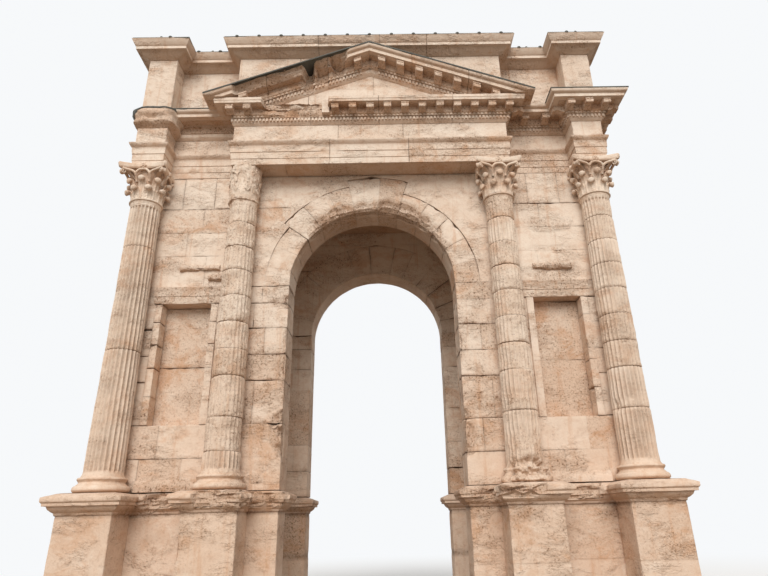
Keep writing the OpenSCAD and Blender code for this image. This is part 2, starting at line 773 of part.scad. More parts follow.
module roof() {
    out = attic_cornice_out - past;
    top = roof_z + roof_t;
    rolls = floor((attic_half + out) / roll_pitch);
    roof_plan([-attic_wall_x, attic_wall_x], [-attic_wall_y, attic_wall_y], out, roof_z, top);
    roof_plan([-attic_half, attic_half], [-attic_y, attic_y], out, roof_z, top);
    for (s = [-1, 1], f = [-1, 1]) quarter(s, f)
        roof_plan([col_out_x - attic_corner_w / 2, col_out_x + attic_corner_w / 2],
            [-attic_y, -attic_y + attic_corner_w], out, roof_z, top);
    for (i = [-rolls:rolls]) roll(i * roll_pitch, attic_y + out);
    for (s = [-1, 1]) at_side(s) {
        roll((attic_half + out + col_out_x - attic_corner_w / 2 - out) / 2, attic_wall_y + out);
        roll(col_out_x, attic_y + out);
    }
}
module roll(x, half) {
    translate([x, half, roof_z + roof_t]) rotate([90, 0, 0]) cylinder(r = roll_r, h = 2 * half, $fn = smooth / 2);
}

color(stone) quarter(-1, -1) pier();  // pier_front_left
color(stone) quarter(1, -1) pier();  // pier_front_right
color(stone) quarter(-1, 1) pier();  // pier_back_left
color(stone) quarter(1, 1) pier();  // pier_back_right
color(stone) quarter(-1, -1) pedestals();  // pedestals_front_left
color(stone) quarter(1, -1) pedestals();  // pedestals_front_right
color(stone) quarter(-1, 1) pedestals();  // pedestals_back_left
color(stone) quarter(1, 1) pedestals();  // pedestals_back_right
color(pale_stone) quarter(-1, -1) column(col_out_x);  // column_front_left_outer
color(pale_stone) quarter(-1, -1) column(col_in_x);  // column_front_left_inner
color(pale_stone) quarter(1, -1) column(col_in_x);  // column_front_right_inner
color(pale_stone) quarter(1, -1) column(col_out_x);  // column_front_right_outer
color(pale_stone) quarter(-1, 1) column(col_out_x);  // column_back_left_outer
color(pale_stone) quarter(-1, 1) column(col_in_x);  // column_back_left_inner
color(pale_stone) quarter(1, 1) column(col_in_x);  // column_back_right_inner
color(pale_stone) quarter(1, 1) column(col_out_x);  // column_back_right_outer
color(pale_stone) quarter(-1, -1) capitals();  // capitals_front_left
color(pale_stone) quarter(1, -1) capitals();  // capitals_front_right
color(pale_stone) quarter(-1, 1) capitals();  // capitals_back_left
color(pale_stone) quarter(1, 1) capitals();  // capitals_back_right
color(pale_stone) at_front(-1) main_arch();  // arch_front
color(pale_stone) at_front(1) main_arch();  // arch_back
color(pale_stone) at_side(-1) side_arch();  // arch_left
color(pale_stone) at_side(1) side_arch();  // arch_right
color(stone) at_front(-1) spandrel();  // spandrel_front
color(stone) at_front(1) spandrel();  // spandrel_back
color(stone) at_side(-1) side_wall();  // side_wall_left
color(stone) at_side(1) side_wall();  // side_wall_right
color(stone) ceiling();
color(stone) at_front(-1) architrave();  // architrave_front
color(stone) at_front(1) architrave();  // architrave_back
color(stone) at_front(-1) frieze();  // frieze_front
color(stone) at_front(1) frieze();  // frieze_back
color(pale_stone) at_front(-1) worn_cornice();  // cornice_front
color(pale_stone) at_front(1) cornice();  // cornice_back
color(stone) at_side(-1) side_entablature();  // entablature_left
color(stone) at_side(1) side_entablature();  // entablature_right
color(pale_stone) at_front(-1) worn_pediment();  // pediment_front
color(pale_stone) at_front(1) pediment();  // pediment_back
color(stone) at_front(-1) attic_front_wall();  // attic_front
color(stone) at_front(1) attic_front_wall();  // attic_back
color(stone) at_side(-1) attic_side_wall();  // attic_left
color(stone) at_side(1) attic_side_wall();  // attic_right
color(pale_stone) attic_cornice();
color(metal) roof();
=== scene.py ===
"""Dresses the four-sided stone arch: every stone, moulding, column and capital of its walls,
the worn and broken places of its front, the sheet metal on its ledges, and a plain studio.

The CAD frame gives the places, in metres: the front faces -Y and the ground is z = 0."""
import logging
import math
from math import cos, pi, radians, sin, sqrt
from collections.abc import Callable, Iterable, Iterator, Sequence
from dataclasses import dataclass, field, replace
from enum import Enum

import bpy
import numpy as np
from mathutils import Matrix


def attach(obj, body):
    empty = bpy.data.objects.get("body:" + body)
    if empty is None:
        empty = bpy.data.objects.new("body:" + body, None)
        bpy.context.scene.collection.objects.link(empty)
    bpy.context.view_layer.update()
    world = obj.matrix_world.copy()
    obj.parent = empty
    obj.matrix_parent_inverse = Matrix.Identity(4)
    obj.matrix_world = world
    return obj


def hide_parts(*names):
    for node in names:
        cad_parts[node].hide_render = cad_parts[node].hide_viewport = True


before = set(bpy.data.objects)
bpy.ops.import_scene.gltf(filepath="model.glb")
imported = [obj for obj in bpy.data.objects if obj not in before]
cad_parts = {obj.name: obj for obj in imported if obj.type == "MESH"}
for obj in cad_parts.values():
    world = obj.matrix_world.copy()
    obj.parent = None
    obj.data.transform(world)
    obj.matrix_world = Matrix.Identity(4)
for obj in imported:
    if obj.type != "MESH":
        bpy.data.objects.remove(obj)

log = logging.getLogger("arch")
Colour = tuple[float, float, float]
Triple = tuple[float, float, float]
Pair = tuple[float, float]
Outline = Sequence[Pair]
Material = bpy.types.Material
Array = np.ndarray
Place = Callable[[Array], Array]
WHOLE = 9.0  # a cell or a stone wider than what it divides, which stays in one piece
JOINT = 0.011  # half the width of a joint's mark
PRIMES = np.array([374761393, 668265263, 2246822519], np.uint64)  # scatter the noise's cells
LAYER_SHIFT = 17.3  # keeps the layers of one noise from lining up
CLEAR = 0.04  # a joint nearer a corner than this gets no grid lines of its own
BARE = 0.02  # no other grid line lies nearer a joint than this
BESIDE = 0.012  # how far the grid lines beside a joint lie from it
SPREAD = 7919  # a prime, so that the draws of neighbouring stones share nothing


def unit(values: Array) -> Array:
    """Values held between nought and one."""
    return np.clip(values, 0.0, 1.0)


# ---- wear in space
@dataclass(frozen=True)
class Grain:
    """Seeded smooth noise in space, so that wear follows no grid of faces."""

    seed: int

    def _dice(self, cells: Array) -> Array:
        """A fixed number from -1 to 1 for each whole-numbered cell.

        Args:
            cells: The cells, one a row.

        Returns:
            The numbers.
        """
        h = (cells.astype(np.uint64) * PRIMES).sum(1) + np.uint64(self.seed * 3266489917 + 97)
        h = (h ^ (h >> np.uint64(13))) * np.uint64(1274126177)
        h ^= h >> np.uint64(16)
        return (h & np.uint64(0xFFFF)).astype(float) / 32767.5 - 1.0

    def at(self, points: Array, size: float) -> Array:
        """Smooth noise.

        Args:
            points: Places, one row of three numbers each.
            size: Width of one lump, in metres.

        Returns:
            A number from -1 to 1 for each point.
        """
        p = points / size + 1000.0
        cell = np.floor(p)
        t = p - cell
        t = t * t * (3.0 - 2.0 * t)
        total = np.zeros(len(p))
        for dx in (0, 1):
            for dy in (0, 1):
                for dz in (0, 1):
                    share = (t[:, 0] if dx else 1 - t[:, 0]) * (t[:, 1] if dy else 1 - t[:, 1])
                    share = share * (t[:, 2] if dz else 1 - t[:, 2])
                    total += share * self._dice(cell + (dx, dy, dz))
        return total

    def layered(self, points: Array, size: float, layers: int = 3) -> Array:
        """Noise with finer lumps on coarser ones.

        Args:
            points: Places, one row of three numbers each.
            size: Width of the widest lumps, in metres.
            layers: How many sizes are laid over each other, each half the last.

        Returns:
            A number from about -1 to 1 for each point.
        """
        total, share = np.zeros(len(points)), 1.0
        for i in range(layers):
            total += share * self.at(points + LAYER_SHIFT * i, size / 2 ** i)
            share *= 0.5
        return total / (2.0 - 2.0 * share)


@dataclass(frozen=True)
class Scar:
    """A worn or broken place: stone is lost inside a soft-edged ellipsoid."""

    centre: Triple
    reach: Triple
    depth: float
    rough: float = 0.5
    ragged: float = 0.28
    soft: float = 0.35

    def loss(self, points: Array, grain: Grain) -> Array:
        """How much stone is gone.

        Args:
            points: Places, one row of three numbers each.
            grain: The noise of its edge and floor.

        Returns:
            The depth lost at each point, in metres.
        """
        away = np.sqrt((((points - self.centre) / self.reach) ** 2).sum(1))
        away += self.ragged * grain.layered(points, 0.35, 2)
        held = unit((1.0 - away) / self.soft)
        lumps = 1.0 - self.rough * (0.45 - 1.1 * grain.layered(points, 0.16, 3))
        return self.depth * held * np.clip(lumps, 0.15, 1.4)


def all_lost(scars: Iterable[Scar], points: Array, grain: Grain) -> Array:
    """How much stone is gone where several scars may meet.

    Args:
        scars: The scars.
        points: Places, one row of three numbers each.
        grain: The noise of their edges and floors.

    Returns:
        The depth lost at each point to the deepest of them, in metres.
    """
    lost = np.zeros(len(points))
    for scar in scars:
        near = (np.abs(points - scar.centre) < 1.4 * np.array(scar.reach)).all(1)
        if near.any():
            lost[near] = np.maximum(lost[near], scar.loss(points[near], grain))
    return lost


# ---- meshes
def cells(index: Array) -> Array:
    """The corner numbers of each cell in a grid of point numbers, four a row."""
    corners = [index[:-1, :-1], index[1:, :-1], index[1:, 1:], index[:-1, 1:]]
    return np.stack(corners, -1).reshape(-1, 4)


@dataclass
class Shape:
    """Faces gathered for one piece, with the marks its finish reads from each point."""

    points: list[Array] = field(default_factory=list)
    quads: list[Array] = field(default_factory=list)
    tris: list[Array] = field(default_factory=list)
    marks: dict[str, list[Array]] = field(
        default_factory=lambda: {"seam": [], "wear": [], "tone": []})
    count: int = 0

    def add(self, points: Array, quads: Array, tris: Array | None = None,
            seam: Array | float = 0.0, wear: Array | float = 0.0,
            tone: Array | float = 0.5) -> None:
        """Adds one closed or open sheet of faces.

        Args:
            points: Corners, one row each.
            quads: Four corner numbers a row.
            tris: Three corner numbers a row.
            seam: How near a joint each point lies, from 0 to 1; on columns it also holds painted
                shade in the flutes' hollows.
            wear: How weathered each point is, from 0 to 1.
            tone: The stone's own tint, from 0, pale, to 1, brown; where it is set above 1 it is
                painted shade.
        """
        self.points.append(points)
        self.quads.append(np.asarray(quads, dtype=np.int64).reshape(-1, 4) + self.count)
        if tris is not None and len(tris):
            self.tris.append(np.asarray(tris, dtype=np.int64).reshape(-1, 3) + self.count)
        for name, value in (("seam", seam), ("wear", wear), ("tone", tone)):
            self.marks[name].append(np.broadcast_to(np.asarray(value, dtype=float), (len(points),)))
        self.count += len(points)

    def join(self, other: "Shape", place: Place | None = None, flip: bool = False) -> None:
        """Adds all of another shape.

        Args:
            other: The shape to add.
            place: Moves its points.
            flip: Turns its faces over, for a place that mirrors.
        """
        if not other.points:
            return
        points = np.concatenate(other.points)
        quads = np.concatenate(other.quads)
        tris = np.concatenate(other.tris) if other.tris else np.zeros((0, 3), int)
        if flip:
            quads, tris = quads[:, ::-1], tris[:, ::-1]
        marks = {name: np.concatenate(rows) for name, rows in other.marks.items()}
        self.add(place(points) if place else points, quads, tris, **marks)

    def make(self, name: str, finish: Material, nodes: Sequence[str] = (),
             sharp: float = 38.0) -> None:
        """Turns the faces into a piece that rides on the arch.

        Args:
            name: The piece's name.
            finish: Its material.
            nodes: The CAD nodes that it stands for.
            sharp: Faces that meet at more than this angle, in degrees, keep a hard edge.
        """
        points = np.concatenate(self.points)
        quads = np.concatenate(self.quads)
        tris = np.concatenate(self.tris) if self.tris else np.zeros((0, 3), dtype=np.int64)
        mesh = bpy.data.meshes.new(name)
        mesh.vertices.add(len(points))
        mesh.vertices.foreach_set("co", points.astype(np.float32).ravel())
        mesh.loops.add(4 * len(quads) + 3 * len(tris))
        mesh.loops.foreach_set("vertex_index",
                               np.concatenate([quads.ravel(), tris.ravel()]).astype(np.int32))
        mesh.polygons.add(len(quads) + len(tris))
        starts = np.concatenate([4 * np.arange(len(quads)),
                                 4 * len(quads) + 3 * np.arange(len(tris))])
        mesh.polygons.foreach_set("loop_start", starts.astype(np.int32))
        mesh.update(calc_edges=True)
        for mark, rows in self.marks.items():
            layer = mesh.attributes.new(mark, "FLOAT", "POINT")
            layer.data.foreach_set("value", np.concatenate(rows).astype(np.float32))
        mesh.shade_smooth()
        mesh.set_sharp_from_angle(angle=radians(sharp))
        piece = bpy.data.objects.new(name, mesh)
        bpy.context.scene.collection.objects.link(piece)
        mesh.materials.append(finish)
        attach(piece, "root")
        if nodes:
            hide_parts(*nodes)
        log.info("%s: %d faces", name, len(quads) + len(tris))

    def stand_for(self, node: str, finish: Material, form: str = "stones",
                  sharp: float = 38.0) -> None:
        """Makes the piece that stands for one CAD node and is named after it."""
        self.make(f"{node}_{form}", finish, [node], sharp)


# ---- finishes
class Weave:
    """Short hand for the shader nodes of a material or of the world."""

    def __init__(self, owner: Material | bpy.types.World) -> None:
        """Starts with nothing but the output node."""
        owner.use_nodes = True
        self.owner = owner
        self.tree = owner.node_tree
        self.tree.nodes.clear()
        self.output = self.node("Output" + type(owner).__name__)

    def node(self, kind: str, inputs: dict[str | int, object] | None = None,
             **settings: object) -> bpy.types.Node:
        """A new node.

        Args:
            kind: Its type, without the word that all shader nodes start with.
            inputs: What is joined to its inputs or written into them.
            settings: Its other settings.

        Returns:
            The node.
        """
        made = self.tree.nodes.new("ShaderNode" + kind)
        for key, value in settings.items():
            setattr(made, key, value)
        for key, value in (inputs or {}).items():
            self.link(value, made.inputs[key])
        return made

    def link(self, source: object, target: bpy.types.NodeSocket) -> None:
        """Fills an input.

        Args:
            source: An output to join to it, a number, or a colour or vector.
            target: The input.
        """
        if isinstance(source, bpy.types.NodeSocket):
            self.tree.links.new(source, target)
        elif isinstance(source, tuple) and target.type == "RGBA":
            target.default_value = (*source, 1.0)
        else:
            target.default_value = source

    def math(self, kind: str, a: object, b: object, clamp: bool = False) -> object:
        """The result of one sum."""
        return self.node("Math", {0: a, 1: b}, operation=kind, use_clamp=clamp).outputs[0]

    def plus(self, a: object, b: object, clamp: bool = False) -> object:
        """Two values added."""
        return self.math("ADD", a, b, clamp)

    def times(self, a: object, b: object, clamp: bool = False) -> object:
        """Two values multiplied."""
        return self.math("MULTIPLY", a, b, clamp)

    def ramp(self, value: object, low: float, high: float, to_low: float = 0.0,
             to_high: float = 1.0) -> object:
        """A value moved from one range to another, with soft ends."""
        ends = {"Value": value, "From Min": low, "From Max": high, "To Min": to_low,
                "To Max": to_high}
        return self.node("MapRange", ends, interpolation_type="SMOOTHSTEP").outputs["Result"]

    def mix(self, share: object, a: object, b: object) -> object:
        """Two colours mixed by a share."""
        return self.node("Mix", {0: share, 6: a, 7: b}, data_type="RGBA").outputs[2]

    def coats(self, colour: object, coats: Iterable[tuple[object, Colour]]) -> object:
        """A colour with others laid over it in turn, each by its own share."""
        for share, over in coats:
            colour = self.mix(share, colour, over)
        return colour

    def places(self, scale: Triple = (1, 1, 1)) -> object:
        """The piece's own coordinates, stretched."""
        own = self.node("TexCoord").outputs["Object"]
        return self.node("Mapping", {"Vector": own, "Scale": scale}).outputs["Vector"]

    def noise(self, scale: float, detail: float = 4.0, rough: float = 0.55,
              stretch: Triple = (1, 1, 1), warp: float = 0.0) -> object:
        """Cloudy noise from 0 to 1."""
        return self.node("TexNoise", {
            "Vector": self.places(stretch), "Scale": scale, "Detail": detail,
            "Roughness": rough, "Distortion": warp}).outputs["Fac"]

    def mark(self, name: str) -> object:
        """A mark that the mesh carries at each point."""
        return self.node("Attribute", attribute_name=name).outputs["Fac"]

    def upward(self, vector: object) -> object:
        """The Z part of a vector."""
        return self.node("SeparateXYZ", {0: vector}).outputs["Z"]

    def seen(self) -> object:
        """One for what the camera sees, straight, mirrored or through glass; else nought."""
        path = self.node("LightPath").outputs
        straight = self.math("MAXIMUM", path["Is Camera Ray"], path["Is Glossy Ray"])
        return self.math("MAXIMUM", straight, path["Is Transmission Ray"])

    def blend(self, share: object, a: bpy.types.Node, b: bpy.types.Node) -> None:
        """Ends with two surfaces mixed by a share."""
        both = self.node("MixShader", {0: share, 1: a.outputs[0], 2: b.outputs[0]})
        self.link(both.outputs[0], self.output.inputs[0])

    def skin(self, colour: object, rough: object, height: object, relief: Pair,
             others: dict[str, float]) -> Material:
        """Ends with an uneven surface.

        Args:
            colour: Its colour.
            rough: Its roughness.
            height: How high each place stands.
            relief: The strength of that relief, and its height in metres.
            others: The surface's other inputs.

        Returns:
            The finished material.
        """
        bump = self.node("Bump", {"Strength": relief[0], "Distance": relief[1],
                                  "Height": height})
        surface = self.node("BsdfPrincipled", {
            "Base Color": colour, "Roughness": rough, "Normal": bump.outputs["Normal"],
            **others})
        self.link(surface.outputs[0], self.output.inputs[0])
        return self.owner


def linear(red: int, green: int, blue: int) -> Colour:
    """A colour written in screen values, as the shader wants it."""
    return tuple(c / 12.92 if c <= 0.04045 else ((c + 0.055) / 1.055) ** 2.4
                 for c in (red / 255, green / 255, blue / 255))


@dataclass(frozen=True)
class Limestone:
    """Pale limestone, pitted, with warm stains and dark joints, and with painted shade: brown on
    downward faces, stain laid thicker low down, and dark in flute hollows.
    """

    name: str
    pale: Colour = linear(242, 229, 214)
    body: Colour = linear(228, 206, 186)
    stain: Colour = linear(206, 158, 120)
    # soffit is the colour of painted shade on downward faces; it also tints random blotches.
    soffit: Colour = linear(172, 132, 101)
    grain: Colour = linear(182, 134, 96)
    # The dark colour of pits and joints, and of painted shade in the flutes' hollows.
    dirt: Colour = linear(96, 66, 44)
    # This scales the stains and also the painted shade laid low down.
    grime: float = 1.0
    pits: float = 1.0
    bump: float = 0.9

    def _colour(self, w: Weave, tone: object, wear: object, mottle: object) -> object:
        """The stone's colour: patches, warm stains, drips, bleached places and blotches, and stain
        laid thicker low down as painted shade.

        Args:
            w: The material's nodes.
            tone: The tint of each stone, and painted shade where it is set above 1.
            wear: How weathered each place is.
            mottle: Small even noise.

        Returns:
            The colour.
        """
        patches = w.ramp(w.noise(0.75, 5.0, 0.6, warp=0.4), 0.36, 0.64, 0.0, 0.75)
        share = w.plus(patches, w.ramp(mottle, 0.34, 0.66, 0.0, 0.45))
        share = w.plus(w.times(share, 0.55), w.times(tone, 0.5), clamp=True)
        # Stain laid thicker towards the foot: painted shade for the weaker sky light low on the
        # arch.
        foot = w.ramp(w.upward(w.places()), 2.0, 6.5, 0.3, 0.0)
        clouds = w.ramp(w.noise(1.3, 6.0, 0.72, stretch=(1, 1, 1.6), warp=0.5), 0.48, 0.66)
        clouds = w.times(clouds, w.ramp(tone, 0.1, 0.8, 0.45, 1.1))
        drips = w.ramp(w.noise(1.0, 5.0, 0.62, stretch=(7.0, 7.0, 0.5)), 0.55, 0.72)
        bleached = w.ramp(w.noise(2.3, 5.0, 0.65, warp=0.5), 0.56, 0.72, 0.0, 0.45)
        blotch = w.times(w.ramp(mottle, 0.54, 0.7), w.plus(0.25, w.times(wear, 0.5)))
        return w.coats(w.mix(share, self.pale, self.body), (
            (w.times(foot, self.grime), self.stain),
            (w.times(clouds, 0.62 * self.grime), self.stain),
            (w.times(drips, 0.42 * self.grime), self.stain),
            (bleached, self.pale),
            (w.times(blotch, 0.55), self.soffit)))

    def material(self) -> Material:
        """The finished material."""
        w = Weave(bpy.data.materials.new(self.name))
        tone, wear, seam = w.mark("tone"), w.mark("wear"), w.mark("seam")
        mottle, grit = w.noise(7.0, 6.0, 0.66), w.noise(26.0, 6.0, 0.72)
        bands = w.noise(1.0, 6.0, 0.7, stretch=(1.1, 1.1, 1.9), warp=0.2)
        eaten = w.plus(w.ramp(bands, 0.46, 0.72, 0.0, 0.95), w.ramp(tone, 0.35, 0.9, 0.0, 0.5))
        eaten = w.plus(eaten, w.ramp(wear, 0.4, 0.95, 0.0, 0.75))
        eaten = w.times(eaten, self.pits, clamp=True)
        shade = w.times(w.ramp(grit, 0.58, 0.36), w.plus(0.08, w.times(eaten, 0.4)))
        # Faces that look down are mixed towards the soffit colour: painted shade under ledges and
        # soffits.
        normal = w.node("NewGeometry").outputs["Normal"]
        under = w.ramp(w.upward(normal), -0.75, -0.05, 1.0, 0.0)
        pit = w.times(w.ramp(grit, 0.445, 0.375), w.plus(0.05, eaten), clamp=True)
        tight = w.plus(w.ramp(w.noise(1.3, 2.0), 0.38, 0.62, 0.4, 0.85),
                       w.ramp(w.noise(17.0, 3.0, 0.6), 0.5, 0.66, 0.0, 0.42))
        # Over the colour go stains, grit, painted shade on downward faces, pits, and the dark of
        # joints together with painted shade in flute hollows.
        colour = w.coats(self._colour(w, tone, wear, mottle), (
            (w.times(eaten, 0.14 * self.grime), self.stain),
            (shade, self.grain),
            (w.times(under, 0.55), self.soffit),
            (w.times(pit, 0.8), self.dirt),
            (w.times(seam, tight, clamp=True), self.dirt)))
        beds = w.noise(3.0, 5.0, 0.65, stretch=(0.6, 0.6, 4.5), warp=0.15)
        height = w.times(grit, w.plus(0.12, w.times(eaten, 1.15)))
        height = w.plus(height, w.times(beds, w.times(eaten, 0.22)))
        height = w.plus(height, w.times(mottle, w.plus(0.35, eaten)))
        return w.skin(colour, w.ramp(mottle, 0.3, 0.7, 0.82, 0.96), height, (self.bump, 0.035),
                      {"Specular IOR Level": 0.25})


@dataclass(frozen=True)
class SheetMetal:
    """Dull grey sheet with a faint green bloom, folded over the ledges and the roof."""

    name: str = "sheet_metal"
    dark: Colour = linear(46, 42, 39)
    bloom: Colour = linear(118, 120, 110)

    def material(self) -> Material:
        """The finished material."""
        w = Weave(bpy.data.materials.new(self.name))
        cloud = w.noise(1.6, 6.0, 0.65)
        runs = w.noise(1.0, 4.0, 0.6, stretch=(9.0, 1.2, 0.8))
        share = w.plus(w.ramp(cloud, 0.3, 0.8, 0.0, 0.35), w.times(runs, 0.35), clamp=True)
        return w.skin(w.mix(share, self.dark, self.bloom), w.ramp(cloud, 0.3, 0.7, 0.5, 0.72),
                      w.noise(7.0, 3.0), (0.25, 0.01), {"Metallic": 0.35})


# ---- masonry
class Side(Enum):
    """The six sides of a block: its lower and upper end along X, Y and Z."""

    LEFT = 0
    RIGHT = 1
    FRONT = 2
    BACK = 3
    BOTTOM = 4
    TOP = 5


THROUGH = (Side.FRONT, Side.BACK)


def spaced(low: float, high: float, cell: float, edge: float = 0.014) -> Array:
    """Grid lines across a block, with one close to each end for its worn arris.

    Args:
        low: Where the block starts.
        high: Where it ends.
        cell: About how far the lines are apart.
        edge: How far the second line lies from the end.

    Returns:
        The lines' places.
    """
    length = high - low
    edge = min(edge, length / 4)
    inner = np.linspace(low + edge, high - edge, max(2, round(length / cell) + 1))
    return np.concatenate([[low], inner, [high]])


def shell(lines: Sequence[Array], shown: Iterable[Side]) -> tuple[Array, Array, Array]:
    """The closed surface of a block.

    Args:
        lines: Grid lines along X, Y and Z.
        shown: Sides with a full grid; the others are closed by a fan.

    Returns:
        The points, the quads and the triangles, all facing outwards.
    """
    shown = set(shown)
    shape = tuple(len(a) for a in lines)
    keep = np.zeros(shape, dtype=bool)
    rims = np.zeros(shape, dtype=int)
    for axis in range(3):
        for end in (0, -1):
            at = [slice(None)] * 3
            at[axis] = end
            rims[tuple(at)] += 1
    keep |= rims >= 2
    sheets = {}
    for side in Side:
        axis, end = divmod(side.value, 2)
        at = [slice(None)] * 3
        at[axis] = -1 if end else 0
        sheets[side] = tuple(at)
        if side in shown:
            keep[tuple(at)] = True
    index = np.full(shape, -1, dtype=np.int64)
    index[keep] = np.arange(int(keep.sum()))
    grid = np.stack(np.meshgrid(*lines, indexing="ij"), -1)
    points = [grid[keep]]
    count, quads, tris = len(points[0]), [], []
    for side in Side:
        sheet = index[sheets[side]]
        turned = side in (Side.LEFT, Side.BACK, Side.BOTTOM)
        if side in shown:
            q = cells(sheet)
            quads.append(q[:, ::-1] if turned else q)
        else:
            ring = np.concatenate([sheet[:-1, 0], sheet[-1, :-1], sheet[:0:-1, -1],
                                   sheet[0, :0:-1]])
            centre = points[0][ring].mean(0)
            points.append(centre[None])
            t = np.stack([ring, np.roll(ring, -1), np.full(len(ring), count)], -1)
            tris.append(t[:, ::-1] if turned else t)
            count += 1
    return (np.concatenate(points), np.concatenate(quads) if quads else np.zeros((0, 4), int),
            np.concatenate(tris) if tris else np.zeros((0, 3), int))


@dataclass
class Block:
    """One stone: its box, the sides that show, the bend that puts it in place, and how wide the
    joints along its X, Y and Z sides look."""

    low: Triple
    high: Triple
    shown: tuple[Side, ...] = (Side.FRONT,)
    bend: Place | None = None
    tone: float | None = None
    wear: float = 0.0
    seams: Triple = (0.5, 1.0, 1.0)


@dataclass
class Masonry:
    """Lays blocks, wears their faces and breaks their arrises."""

    seed: int
    cell: float = 0.06
    arris: float = 0.014
    rough: float = 0.01
    joint: float = 0.018
    least: float = 0.12
    wave: float = 0.45
    grit: float = 0.11
    scars: tuple[Scar, ...] = ()
    shape: Shape = field(default_factory=Shape)
    laid: int = 0

    def lay(self, block: Block) -> None:
        """Adds one block with its own tint, tilt of the surface and wear.

        Args:
            block: The stone to lay.
        """
        self.laid += 1
        dice = np.random.default_rng(self.seed * SPREAD + self.laid)
        grain = Grain(self.seed + 13 * self.laid)
        low, high = np.array(block.low, float), np.array(block.high, float)
        lines = [spaced(low[k], high[k],
                        self.cell if any(s.value // 2 != k for s in block.shown) else WHOLE)
                 for k in range(3)]
        points, quads, tris = shell(lines, block.shown)
        bend = block.bend or (lambda p: p)
        there = bend(points)
        lost = all_lost(self.scars, there, grain)
        wavy = grain.layered(there, self.wave, 4)
        fine = grain.layered(there + 5.0, self.grit, 2)
        own = block.wear + dice.uniform(0.0, 0.5)
        skin = self.rough * own * (0.9 + wavy + 0.6 * fine) + dice.uniform(0.0, 0.35) * self.rough
        skin = np.maximum(skin, 0.0) + 0.55 * lost
        gap = np.stack([points - low, high - points], 2).reshape(-1, 6)
        flat = gap.copy()
        for side in block.shown:
            k = side.value
            on = gap[:, k] < 1e-6
            gap[on, k] += skin[on]
            gap[on, k ^ 1] -= skin[on]
        tight = np.clip(0.7 + 1.7 * Grain(self.seed).layered(there, 1.1, 3), 0.12, 1.9)
        nicks = unit(grain.layered(there + 8.0, 0.16, 2) - 0.15)
        chip = self.arris * np.maximum(0.75 + 0.5 * wavy + 0.7 * fine + 0.5 * own, 0.3)
        seam = np.zeros(len(points))
        for side in block.shown:
            k = side.value
            for other in (s for s in Side if s.value // 2 != k // 2):
                j = other.value
                bite = chip + lost
                if other not in block.shown:
                    firm = tight * block.seams[j // 2]
                    bite = (chip + 0.05 * nicks) * firm + 0.12 * lost
                    dark = unit(1.0 - np.hypot(flat[:, k], flat[:, j]) / self.joint)
                    seam = np.maximum(seam, dark * np.minimum(firm, 1.0))
                lack = np.maximum(bite - gap[:, k] - gap[:, j], 0.0) / 2
                for one in (k, j):
                    gap[:, one] += lack
                    gap[:, one ^ 1] -= lack
        tone = block.tone
        if tone is None:
            tone = float(unit(dice.normal(0.42, 0.2)))
        seam *= 0.8 + 0.4 * fine
        self.shape.add(bend(low + gap[:, 0::2]), quads, tris, seam=unit(seam), tone=tone,
                       wear=unit(0.35 * own + 14.0 * lost + 0.3 * wavy))

    def course(self, x: Pair, y: Pair, z: Pair,
               joints: Sequence[float], shown: tuple[Side, ...] = (Side.FRONT,),
               ends: tuple[Side, ...] = (), **kind: object) -> None:
        """One row of blocks along X.

        Args:
            x: Where the row starts and ends.
            y: Its front and back.
            z: Its bottom and top.
            joints: Where the upright joints are.
            shown: The sides that show on every block.
            ends: LEFT or RIGHT, where the first or last block's end shows too.
            kind: Other fields of the blocks.
        """
        stops = [x[0], *sorted(j for j in joints if x[0] + self.least < j < x[1] - self.least),
                 x[1]]
        for i, (a, b) in enumerate(zip(stops, stops[1:])):
            sides = list(shown)
            if i == 0 and Side.LEFT in ends:
                sides.append(Side.LEFT)
            if i == len(stops) - 2 and Side.RIGHT in ends:
                sides.append(Side.RIGHT)
            self.lay(Block((a, y[0], z[0]), (b, y[1], z[1]), tuple(sides), **kind))


# ---- mouldings
@dataclass(frozen=True)
class Loss:
    """A place where a moulding is broken back to a rough face."""

    low: Triple
    high: Triple
    left: float
    soft: float = 0.1
    rough: float = 0.035
    lean: float = 0.0
    foot: float = 0.0

    def cut(self, there: Array, out: Array, up: Array, grain: Grain) -> tuple[Array, Array]:
        """Breaks a moulding back.

        Args:
            there: The points of the moulding.
            out: How far each stands out of the wall.
            up: Its height in the moulding's own outline.
            grain: The noise of the break.

        Returns:
            How far each point still stands out, and how broken it is, from 0 to 1.
        """
        inside = np.minimum(there - self.low, np.array(self.high) - there).min(1)
        inside += 0.07 * grain.layered(there, 0.22, 3)
        share = unit(inside / self.soft + 0.5)
        left = self.left + self.rough * grain.layered(there * (1.0, 1.0, 2.2), 0.24, 4)
        left += 0.4 * self.rough * grain.layered(there + 6.0, 0.08, 2)
        left = left + self.lean * np.maximum(up - self.foot, 0.0)
        cut = np.where(out > left, out + (left - out) * share, out)
        return cut, share * (out > left)


def refined(profile: Outline, cell: float) -> Array:
    """An outline with its long parts cut into short ones.

    Args:
        profile: The outline's corners.
        cell: About how long a part may be.

    Returns:
        The points of the finer outline.
    """
    points = [profile[0]]
    for a, b in zip(profile, profile[1:]):
        n = max(1, round(math.dist(a, b) / cell))
        points += [(a[0] + (b[0] - a[0]) * i / n, a[1] + (b[1] - a[1]) * i / n)
                   for i in range(1, n + 1)]
    return np.array(points)


